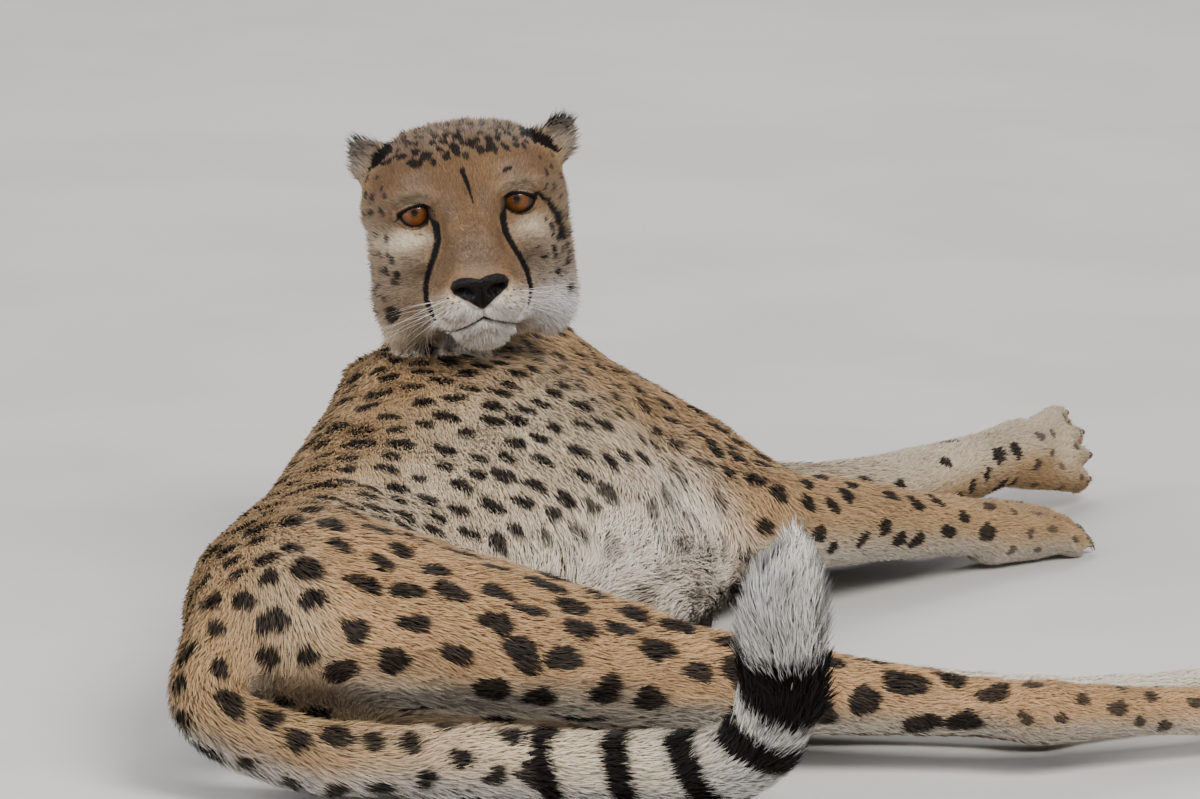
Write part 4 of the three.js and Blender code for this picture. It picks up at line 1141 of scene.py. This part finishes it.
# %% Distance to a line or a band
def line_marks(p, n):
    """The face's dark lines and the tail's bands, as a distance like the spots'."""
    q, out = to_head(p), n @ HEAD.T
    place = np.stack([q[:, 0], face_v(q)], 1)
    face = np.stack([np.abs(q[:, 0]), place[:, 1]], 1)
    gap = np.full(len(p), 50.0)
    ahead_of = (q[:, 1] > -75) & (np.abs(q[:, 0]) < 100) & (np.abs(place[:, 1]) < 115) \
        & ((out[:, 1] > -0.3) | (q[:, 1] > 20))
    f = np.where(ahead_of)[0]
    tear, share = line_gap(face[f], TEAR)
    line = [tear - lerp(2.9, 1.7, share) * step(1.02, 0.9, share)]
    opening = outline_gap(np.stack([face[f, 0] - EYE_X, face[f, 1]], 1), EYE_OPENING)
    rim = 1.9 + 1.6 * step(-1, 4, face[f, 1])
    line.append(opening - rim)
    for stroke, wide, thin in ((FOREHEAD, 2.2, 0.5),
                               (OUTER_EYE, 1.2, 2.7), (OUTER_EYE_RIGHT, 1.5, 0.5),
                               (EAR_PATCH[-1], 4.0, 4.5), (EAR_PATCH[1], 4.0, 4.0)):
        far, share = line_gap(place[f], stroke)
        line.append(far - lerp(wide, thin, share))
    lips, share = line_gap(face[f], LIPS)
    line.append(lips - lerp(1.1, 0.1, share))
    line.append(outline_gap(face[f], NOSE_PAD) - 0.6)
    for row in range(WHISKER_ROWS):
        for k in range(IN_A_ROW):
            line.append(np.linalg.norm(face[f] - whisker_root(row, k), axis=1) - 0.6)
    gap[f] = np.minimum.reduce(line)
    far, share, _ = along_line(p, LINES["tail"])
    t = np.where((far < 0.05) & (share > 0.5) & (p[:, 1] < 0))[0]
    height = p[t, 2] - np.interp(share[t], np.linspace(0, 1, 40), TAIL_HEIGHT)
    slant = share[t] + 0.5 * height * step(0.84, 0.74, share[t])
    phase = (slant - FIRST_BAND) / BAND_STEP
    nearest = np.clip(np.round(phase), 0, len(BAND_HALVES) - 1)
    half = BAND_HALVES[nearest.astype(int)]
    gap[t] = np.minimum(gap[t], np.abs(phase - nearest) * BAND_STEP * TAIL_LENGTH - half)
    return gap


def point_along(line, shares):
    lengths = np.linalg.norm(np.diff(line, axis=0), axis=1)
    before = np.concatenate([[0], np.cumsum(lengths)]) / lengths.sum()
    return np.stack([np.interp(shares, before, line[:, c]) for c in range(3)], 1)


# %% Paint the skin
TAIL_HEIGHT = point_along(LINES["tail"], np.linspace(0, 1, 40))[:, 2]
TAIL_LENGTH = np.linalg.norm(np.diff(LINES["tail"], axis=0), axis=1).sum() / MM
near_marks = nearest_marks(co)
spot, black = spot_gap(co, normal, near_marks)
lines_at = line_marks(co, normal)
dark_spot = GREY_SPOT + (BLACK - GREY_SPOT) * black[:, None]
skin_colour = lerp(ground, lerp(ground * 0.8, dark_spot, 0.35 + 0.65 * black[:, None]),
                   step(1.2, -1.2, spot)[:, None])
skin_colour = lerp(skin_colour, BLACK * 0.28, step(0.5, -0.5, lines_at)[:, None])
spent("marks painted")

# %% [markdown]
# ## The skin's material
# Skin shows only between hairs, on the nose, at the lips and round the eyes. Its colour comes
# from the points, with fine noise over it. The nose is bare leather, pebbled and a little wet.

# %% Skin material
def set_colour(mesh, name, values, domain="POINT"):
    layer = mesh.color_attributes.new(name, "FLOAT_COLOR", domain)
    rgba = np.ones((len(values), 4), np.float32)
    rgba[:, :3] = values
    layer.data.foreach_set("color", rgba.ravel())


def set_value(mesh, name, values):
    layer = mesh.attributes.new(name, "FLOAT", "POINT")
    layer.data.foreach_set("value", values.astype(np.float32))


def attribute_node(nodes, name):
    node = nodes.new("ShaderNodeAttribute")
    node.attribute_name = name
    return node


def mottled(nodes, links, scale, stops, detail=3.0):
    """Noise over the object, and the ramp of colours that it runs through."""
    place = nodes.new("ShaderNodeTexCoord")
    noise = nodes.new("ShaderNodeTexNoise")
    noise.inputs["Scale"].default_value, noise.inputs["Detail"].default_value = scale, detail
    links.new(place.outputs["Object"], noise.inputs["Vector"])
    tone = ramp_of(nodes, stops)
    links.new(noise.outputs["Fac"], tone.inputs["Fac"])
    return noise.outputs["Fac"], tone.outputs["Color"]


# %% Bare nose and skin
face = face_places(head_mm)
bare_nose = step(0.6, -0.6, outline_gap(face, NOSE_PAD)) * (head_mm[:, 1] > 20) * head_mask
set_colour(mesh, "coat_colour", skin_colour)
set_value(mesh, "bare", bare_nose)
skin_look, nodes, links, shader = new_material("skin")
base = attribute_node(nodes, "coat_colour")
grain, tone = mottled(nodes, links, 900, [(0.3, (0.72, 0.70, 0.68)), (0.7, (1.15, 1.15, 1.15))], 2.0)
links.new(multiplied(nodes, links, base.outputs["Color"], tone), shader.inputs["Base Color"])
bare = attribute_node(nodes, "bare")
rough = ramp_of(nodes, [(0, (0.85, 0.85, 0.85)), (1, (0.46, 0.46, 0.46))])
links.new(bare.outputs["Fac"], rough.inputs["Fac"])
links.new(rough.outputs["Color"], shader.inputs["Roughness"])
place = nodes.new("ShaderNodeTexCoord")
pebble = nodes.new("ShaderNodeTexVoronoi")
pebble.inputs["Scale"].default_value = 850
links.new(place.outputs["Object"], pebble.inputs["Vector"])
rise = nodes.new("ShaderNodeMix")
rise.data_type = "FLOAT"
links.new(bare.outputs["Fac"], rise.inputs["Factor"])
links.new(grain, rise.inputs["A"])
links.new(pebble.outputs["Distance"], rise.inputs["B"])
shader.inputs["Specular IOR Level"].default_value = 0.22
bump = nodes.new("ShaderNodeBump")
bump.inputs["Distance"].default_value = 0.0006
bump.inputs["Strength"].default_value = 0.8
links.new(rise.outputs["Result"], bump.inputs["Height"])
links.new(bump.outputs["Normal"], shader.inputs["Normal"])
mesh.materials.clear()
mesh.materials.append(skin_look)
mesh.shade_smooth()
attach(skin, "root")
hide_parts(*FLESH)

# %% [markdown]
# ## The coat
# Each hair is a thin blade of two faces, a quad that narrows and a triangle that ends it. It
# leaves the skin at an angle and bends along the fur. Its middle and its tip each take the
# colour of the mark that they lie over, which keeps the spots' edges crisp. Blades are grown by
# the thousand from one formula over whole arrays of roots, and each part of the body is a piece
# of its own, to keep every piece of a size that a program can open.

# %% Where the hairs stand
mesh.calc_loop_triangles()
tris = np.empty(len(mesh.loop_triangles) * 3, np.int32)
mesh.loop_triangles.foreach_get("vertices", tris)
tris = tris.reshape(-1, 3)
corner = co[tris]
tri_area = np.linalg.norm(np.cross(corner[:, 1] - corner[:, 0], corner[:, 2] - corner[:, 0]),
                          axis=1) / 2
lids = outline_gap(np.stack([face[:, 0] - EYE_X, face[:, 1]], 1), EYE_OPENING)
by_eye = head_mask * (head_mm[:, 1] > -30)
nose_gap = outline_gap(face, NOSE_PAD)
lip_gap = line_gap(face, LIPS)[0]
muzzle = head_mask * (head_mm[:, 1] > 20)
thick = hair[:, 4] * ((nose_gap > 0.8) | (head_mm[:, 1] < 15) | (head_mask < 0.5))
thick *= 1 - by_eye * (lids < 1.4) * (np.abs(face[:, 1]) < 20)
thick *= 1 - muzzle * (lip_gap < 0.7)
thick *= 1 - muzzle * (line_gap(face, NOSTRIL)[0] < 4.5)
front_of_head = head_mask * (head_mm[:, 1] > -28)
thick *= lerp(lerp(1, 0.8, head_mask), 1.3, front_of_head)
hair[:, 2] *= lerp(1, 0.86, front_of_head)

# %% How long it is and how far it stands off, place by place
trim(by_eye * step(9, 2, lids) * (np.abs(face[:, 1]) < 25), 0.42)
trim(muzzle * step(6, 1, nose_gap), 0.5)
trim(muzzle * step(5, 1, lip_gap), 0.6)
bridge = head_mask * np.exp(-(face[:, 0] / 22) ** 2) * step(20, -10, face[:, 1]) \
    * step(-80, -60, face[:, 1]) * (head_mm[:, 1] > 0)
trim(bridge, 0.62)
comb(ruff * step(-22, -55, face[:, 1]), length=13.5, lift=22)
comb(jowl, length=17, lift=24)
comb(ruff * step(-60, -22, face[:, 1]), length=14, lift=31)
trim(head_mask * (head_mm[:, 1] > -20) * step(7, 2.5, line_gap(face, TEAR)[0]), 0.6)
trim(head_mask * step(44, 34, face[:, 0]) * step(-66, -50, face[:, 1]), 0.8)
chin = head_mask * step(-90, -104, face[:, 1])
comb(chin, length=13, lift=34)
mantle = np.maximum(head_mask * step(38, 58, face[:, 1]),
                    spread(part("neck"), 6) * step(0.1, 0.7, normal[:, 2]))
comb(0.8 * mantle, length=15)
comb(mantle, lift=27)
comb(ear_mask * step(0.1, 0.6, out[:, 1]), length=10, lift=36)
trim(step(0.012, 0.0, co[:, 2]), 0.65)       # pressed short where it meets the floor


# %% One piece for each part of the body
def piece_of_tri():
    """The coat piece that each triangle of the skin belongs to."""
    at = corner.mean(1)
    q = to_head(at)
    lab = np.array(FLESH)[label[tris[:, 0]]]
    piece = np.empty(len(tris), "U24")
    for start, name in (("head", "coat_head_back"), ("nose", "coat_face"), ("ear", "coat_ears"),
                        ("neck", "coat_neck"), ("tail", "coat_tail"),
                        ("foreleg_right", "coat_foreleg_right"),
                        ("foreleg_left", "coat_foreleg_left"),
                        ("hind_leg_right", "coat_hind_leg_right"),
                        ("hind_leg_left", "coat_hind_leg_left"), ("trunk", "coat_ribs")):
        piece[np.char.startswith(lab, start)] = name
    piece[(piece == "coat_head_back") & (q[:, 1] > -28) & (np.abs(q[:, 0]) < 70)] = "coat_face"
    piece[(piece == "coat_ribs") & (at[:, 1] > 0.40)] = "coat_chest"
    piece[(piece == "coat_ribs") & (at[:, 1] < 0.15)] = "coat_loin"
    return piece


tri_piece = piece_of_tri()
tri_thick = thick[tris].mean(1) * tri_area * 1e4          # hairs on each triangle
for name in sorted(set(tri_piece)):
    print(f"{name}: {tri_area[tri_piece == name].sum() * 1e4:.0f} cm2,",
          f"{tri_thick[tri_piece == name].sum():.0f} hairs")


# %% Unwrap of the skin under a piece
def unwrap_of(chosen, name):
    """Places on a flat unwrap of the piece's own part of skin, for each triangle's corners."""
    used, back = np.unique(tris[chosen], return_inverse=True)
    patch = bpy.data.meshes.new(name + "_unwrap")
    patch.from_pydata(co[used].tolist(), [], back.reshape(-1, 3).tolist())
    o = bpy.data.objects.new(name + "_unwrap", patch)
    scene.collection.objects.link(o)
    only(o)
    bpy.ops.object.mode_set(mode="EDIT")
    bpy.ops.mesh.select_all(action="SELECT")
    bpy.ops.uv.smart_project(angle_limit=math.radians(66), island_margin=0.004)
    bpy.ops.object.mode_set(mode="OBJECT")
    flat = np.empty(len(patch.loops) * 2, np.float32)
    patch.uv_layers.active.data.foreach_get("uv", flat)
    bpy.data.objects.remove(o)
    bpy.data.meshes.remove(patch)
    return flat.reshape(-1, 3, 2)


# %% Roots of the hairs
def scatter_roots(chosen, rng):
    """Triangles and places on them, as many in each as it has hairs."""
    share = tri_thick[chosen]
    count = int(share.sum())
    ends = np.cumsum(share) / share.sum()
    pick = np.searchsorted(ends, (np.arange(count) + rng.random(count)) / count)
    pick = np.minimum(pick, len(chosen) - 1)
    a, b = np.sqrt(rng.random(count)), rng.random(count)
    return pick, np.stack([1 - a, a * (1 - b), a * b], 1)


# %% Colours of the hairs
# Painted shade at the roots, where the hairs shade one another near the skin; the tips are a little
# lighter.
SHADE = np.array([0.66, 0.66, 0.96, 0.96, 1.12])          # darker at the root, lighter at the tip
COLOURED_AT = (0.35, 0.85)                   # shares of the hair's length: its middle, its tip
DARKEST, LIGHTEST = 0.004, 0.95


def blade_colours(p, n, lie, length, usual, near, on_head, base, rng):
    """A colour for each of a blade's five corners: the ground, then the spots and lines."""
    count = len(p)
    fuzz = rng.normal(0, 1.0, count) * np.clip(usual / 14, 0.35, 1.4) * lerp(0.45, 0.28, on_head)
    bright, hue = rng.normal(0, 1, count), rng.normal(0, 0.03, (count, 3))
    bright *= lerp(0.11, 0.17, on_head)
    tint = base * (1 + bright)[:, None] * (1 + hue)
    depth_of_ink = rng.uniform(0.86, 1.0, count)
    tints = []
    for reach in COLOURED_AT:
        spot_at = p + lie * (length * reach)[:, None]
        gap, ink = spot_gap(spot_at, n, near)
        ink = ink * depth_of_ink
        spot_tint = lerp(GREY_SPOT, BLACK, ink[:, None])
        spot_tint = lerp(tint * 0.8, spot_tint, (0.35 + 0.65 * ink)[:, None])
        marked = np.where((gap + fuzz < 0)[:, None], spot_tint, tint)
        lined = line_marks(spot_at, n) + fuzz * 0.6 < 0
        tints.append(np.where(lined[:, None], BLACK * 1.1, marked))
    # Each blade's corners take the painted root shade and the lighter tip.
    colour = np.stack([tints[0]] * 4 + [tints[1]], 1) * SHADE[None, :, None]
    return np.clip(colour, DARKEST, LIGHTEST)


# %% Grow the blades of one piece
ROOT_DEPTH, OFF_FLOOR = 0.0004, 0.0007
HALF_PATCH = 0.0015                          # of the OFBake map, for one hair
PATCH_CORNERS = np.array([(-1, -1), (1, -1), (0.8, 0.1), (-0.8, 0.1), (0, 1)]) * HALF_PATCH


def grow(name, rng):
    chosen = np.where(tri_piece == name)[0]
    flat = unwrap_of(chosen, name)
    pick, bary = scatter_roots(chosen, rng)
    count = len(pick)
    t = tris[chosen[pick]]

    def at_root(values):
        return (values[t] * bary.reshape(count, 3, *[1] * (values.ndim - 1))).sum(1)

    p, n = at_root(co), at_root(normal)
    n /= np.linalg.norm(n, axis=1)[:, None]
    lie = on_skin(at_root(flow), n)
    size = at_root(hair)
    rough_way = at_root(ruffle)
    turn = rng.normal(0, 0.10, count) + 0.16 * rough_way[:, 0] + 0.12 * at_root(sweep)
    side = np.cross(n, lie)
    lie = lie * np.cos(turn)[:, None] + side * np.sin(turn)[:, None]
    side = np.cross(n, lie)
    roll = rng.uniform(-0.6, 0.6, count)[:, None]
    face_out = n * np.cos(roll) + side * np.sin(roll)
    flat_side = np.cross(lie, face_out)
    length = size[:, 0] * MM * rng.uniform(0.7, 1.2, count)
    width = size[:, 2] * MM * rng.uniform(0.75, 1.25, count) / 2
    lift = np.radians(np.clip(size[:, 3] + 5 * rough_way[:, 1] + rng.normal(0, 4, count), 6, 60))
    rise, settle = lift + math.radians(8), lift - math.radians(10)
    root = p - n * ROOT_DEPTH
    middle = root + (length * 0.5)[:, None] * (lie * np.cos(rise)[:, None]
                                               + n * np.sin(rise)[:, None])
    tip = middle + (length * 0.5)[:, None] * (lie * np.cos(settle)[:, None]
                                              + n * np.sin(settle)[:, None])
    w = width[:, None] * flat_side
    verts = np.stack([root - w, root + w, middle + w * 0.72, middle - w * 0.72, tip], 1)
    verts[..., 2] = np.maximum(verts[..., 2], OFF_FLOOR)
    colour = blade_colours(p, n, lie, length, size[:, 0], near_marks[t[:, 0]],
                           at_root(head_mask), at_root(ground), rng)
    # Normals lean to the skin's own, so the coat shades as one soft surface.
    blade_n = np.cross(flat_side, tip - root)
    blade_n /= np.maximum(np.linalg.norm(blade_n, axis=1), 1e-9)[:, None]
    blade_n *= np.sign((blade_n * n).sum(1))[:, None]
    soft = n * 0.72 + blade_n * 0.28 + lie * 0.10
    soft /= np.linalg.norm(soft, axis=1)[:, None]
    root_uv = (flat[pick] * bary[:, :, None]).sum(1)
    uv = root_uv[:, None, :] + PATCH_CORNERS[None]
    return blade_mesh(name, verts, colour, soft, np.clip(uv, 0, 1))


# %% Blades as one mesh
def blade_mesh(name, verts, colour, soft, uv):
    count = len(verts)
    m = bpy.data.meshes.new(name)
    m.vertices.add(count * 5)
    m.vertices.foreach_set("co", verts.astype(np.float32).ravel())
    pattern = np.array([0, 1, 2, 3, 3, 2, 4])
    loops = (np.arange(count)[:, None] * 5 + pattern).astype(np.int32)
    m.loops.add(loops.size)
    m.loops.foreach_set("vertex_index", loops.ravel())
    m.polygons.add(count * 2)
    starts = np.arange(count)[:, None] * 7 + np.array([0, 4])
    m.polygons.foreach_set("loop_start", starts.astype(np.int32).ravel())
    m.update(calc_edges=True)
    layer = m.uv_layers.new(name="OFBake")
    layer.data.foreach_set("uv", uv[:, pattern].astype(np.float32).ravel())
    set_colour(m, "coat_colour", colour.reshape(-1, 3))
    m.shade_smooth()
    layer = m.attributes.new("lie_normal", "FLOAT_VECTOR", "POINT")
    layer.data.foreach_set("vector", np.repeat(soft, 5, axis=0).astype(np.float32).ravel())
    o = bpy.data.objects.new(name, m)
    scene.collection.objects.link(o)
    return o


# %% The coat's material
LIGHT_THROUGH = 0.25


def coat_material(name):
    """Hair is a soft shiny surface that lets a quarter of the light through."""
    m, nodes, links, shader = new_material(name)
    base = attribute_node(nodes, "coat_colour")
    _, tone = mottled(nodes, links, 1400, [(0.3, (0.84, 0.83, 0.82)), (0.7, (1.1, 1.1, 1.1))], 1.0)
    colour = multiplied(nodes, links, base.outputs["Color"], tone)
    links.new(colour, shader.inputs["Base Color"])
    lie = attribute_node(nodes, "lie_normal")
    links.new(lie.outputs["Vector"], shader.inputs["Normal"])
    shader.inputs["Roughness"].default_value = 0.6
    shader.inputs["Specular IOR Level"].default_value = 0.16
    through = nodes.new("ShaderNodeBsdfTranslucent")
    links.new(colour, through.inputs["Color"])
    links.new(lie.outputs["Vector"], through.inputs["Normal"])
    both = nodes.new("ShaderNodeMixShader")
    both.inputs["Fac"].default_value = LIGHT_THROUGH
    links.new(shader.outputs["BSDF"], both.inputs[1])
    links.new(through.outputs["BSDF"], both.inputs[2])
    links.new(both.outputs["Shader"], nodes["Material Output"].inputs["Surface"])
    return m


# %% Grow every piece
fur_look = coat_material("short_coat")
hairs = 0
for k, name in enumerate(sorted(set(tri_piece))):
    coat = grow(name, np.random.default_rng([SEED, k]))
    coat.data.materials.append(fur_look)
    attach(coat, "root")
    hairs += len(coat.data.polygons) // 2
    spent(f"{name} {len(coat.data.polygons) * 3 // 2} triangles")
print(hairs, "hairs,", hairs * 3, "triangles")

# %% [markdown]
# ## Whiskers
# A cheetah has about a dozen stiff white whiskers on each side. Each is a tapered tube drawn
# along a gentle arc out of its root on the pad.

# %% Tapered tubes
def plain_material(name, scale, stops, roughness):
    """One finish all over, between two tones of fine noise."""
    m, nodes, links, shader = new_material(name)
    _, tone = mottled(nodes, links, scale, stops)
    links.new(tone, shader.inputs["Base Color"])
    shader.inputs["Roughness"].default_value = roughness
    return m


def tube_mesh(paths, radii, name, sides=5):
    """One mesh of tapered tubes, each along its own path of points."""
    verts, faces = [], []
    for path, radius in zip(paths, radii):
        path = np.asarray(path)
        first = len(verts)
        way = np.gradient(path, axis=0)
        way /= np.linalg.norm(way, axis=1)[:, None]
        s = np.cross(way, (0.3, 0.2, 1.0))
        s /= np.linalg.norm(s, axis=1)[:, None]
        u = np.cross(s, way)
        for i, p in enumerate(path):
            r = radius * (1 - 0.9 * i / (len(path) - 1))
            for k in range(sides):
                turn = 2 * math.pi * k / sides
                verts.append(p + r * (s[i] * math.cos(turn) + u[i] * math.sin(turn)))
        for i in range(len(path) - 1):
            for k in range(sides):
                a, b = first + i * sides + k, first + i * sides + (k + 1) % sides
                faces.append((a, b, b + sides, a + sides))
        faces.append([first + k for k in reversed(range(sides))])
        faces.append([first + (len(path) - 1) * sides + k for k in range(sides)])
    m = bpy.data.meshes.new(name)
    m.from_pydata([tuple(v) for v in verts], [], faces)
    m.shade_smooth()
    o = bpy.data.objects.new(name, m)
    scene.collection.objects.link(o)
    return o


# %% Whiskers
WHISKER_THICK = 0.00017
whisker_rng = np.random.default_rng([SEED, 77])
paths, radii = [], []
for side in (1, -1):
    for row in range(WHISKER_ROWS):
        for k in range(1 + row % 2, IN_A_ROW, 2 if row == WHISKER_ROWS - 1 else 1):
            x, v = whisker_root(row, k)
            i = nearest_on_face(side * x, v)
            root = head_mm[i]
            length = whisker_rng.uniform(26, 50) * (0.7 + 0.12 * k)
            away = np.array([side * (0.80 + 0.1 * k), 0.35 - 0.16 * k,
                             -0.34 - 0.10 * row + 0.1 * k])
            away += whisker_rng.normal(0, 0.09, 3)
            away /= np.linalg.norm(away)
            t = np.linspace(0, 1, 9)[:, None]
            bend = np.array([side * 0.05, -0.34, -0.22])
            paths.append(from_head(root + length * (away * t + bend * t * t)))
            radii.append(WHISKER_THICK)
whiskers = tube_mesh(paths, radii, "whiskers")
whisker_tones = [(0.3, (0.62, 0.58, 0.52)), (0.7, (0.86, 0.84, 0.80))]
whiskers.data.materials.append(plain_material("whisker", 60, whisker_tones, 0.35))
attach(whiskers, "root")
print(len(paths), "whiskers")

# %% [markdown]
# ## Claws
# A cheetah's claws hardly draw in, so their tips show. Each is a hooked cone along an arc that
# starts inside the toe.

# %% Claws
paths, radii = [], []
for wrist, toward, back, size in PAWS.values():
    t, s, n = paw_axes(toward, back)
    for w, reach in TOES:
        along = np.linspace(0, 1, 8)[:, None]
        start = np.array(wrist) + size * (t * (reach - 4) + s * w * 1.04 + n * 2)
        hook = -2 * along - 11 * along ** 2
        arc = start + size * (t * 17 * along + s * w * 0.02 * along + n * hook)
        paths.append(np.maximum(arc, (-1e9, -1e9, 2.0)) * MM)
        radii.append(0.0031 * size)
claws = tube_mesh(paths, radii, "claws", 8)
claw_tones = [(0.35, (0.045, 0.032, 0.022)), (0.7, (0.13, 0.095, 0.06))]
claws.data.materials.append(plain_material("claw", 220, claw_tones, 0.32))
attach(claws, "root")
print(len(paths), "claws")

# %% [markdown]
# ## Floor and light
# A plain pale floor and large soft lamps, as in a studio. The key light comes from high on the
# camera's right, a broad fill from the left, a weak rim light from beyond the animal, and the
# world lifts the shadows.

# %% Floor and lamps
bpy.ops.object.select_all(action="DESELECT")
bpy.ops.mesh.primitive_plane_add(size=24, location=(0, 2, 0))
floor = bpy.context.active_object
floor.name = floor.data.name = "floor"
floor_tones = [(0.4, (0.53, 0.515, 0.49)), (0.6, (0.57, 0.555, 0.53))]
floor.data.materials.append(plain_material("floor", 3, floor_tones, 0.9))
floor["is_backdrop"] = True


def lamp(name, at, aim, size, power, colour):
    data = bpy.data.lights.new(name, "AREA")
    data.shape, data.size, data.energy, data.color = "DISK", size, power, colour
    o = bpy.data.objects.new(name, data)
    scene.collection.objects.link(o)
    o.location = at
    o.rotation_mode = "QUATERNION"
    o.rotation_quaternion = (Vector(aim) - Vector(at)).to_track_quat("-Z", "Y")


MIDDLE = (0.15, 0.35, 0.15)
lamp("key", (2.4, -1.8, 3.2), MIDDLE, 2.2, 225, (1.0, 0.97, 0.93))
lamp("fill", (-3.0, -2.2, 2.0), MIDDLE, 2.8, 150, (0.97, 0.98, 1.0))
lamp("rim", (-0.6, 3.6, 2.8), MIDDLE, 2.4, 80, (1.0, 0.97, 0.92))
world = bpy.data.worlds.new("studio")
scene.world = world
world.use_nodes = True
world.node_tree.nodes["Background"].inputs["Color"].default_value = (0.86, 0.90, 1.0, 1)
world.node_tree.nodes["Background"].inputs["Strength"].default_value = 0.55

# %% Sizes
low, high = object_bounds()
print("visual", [round(v, 3) for v in low], [round(v, 3) for v in high])
spent("done")
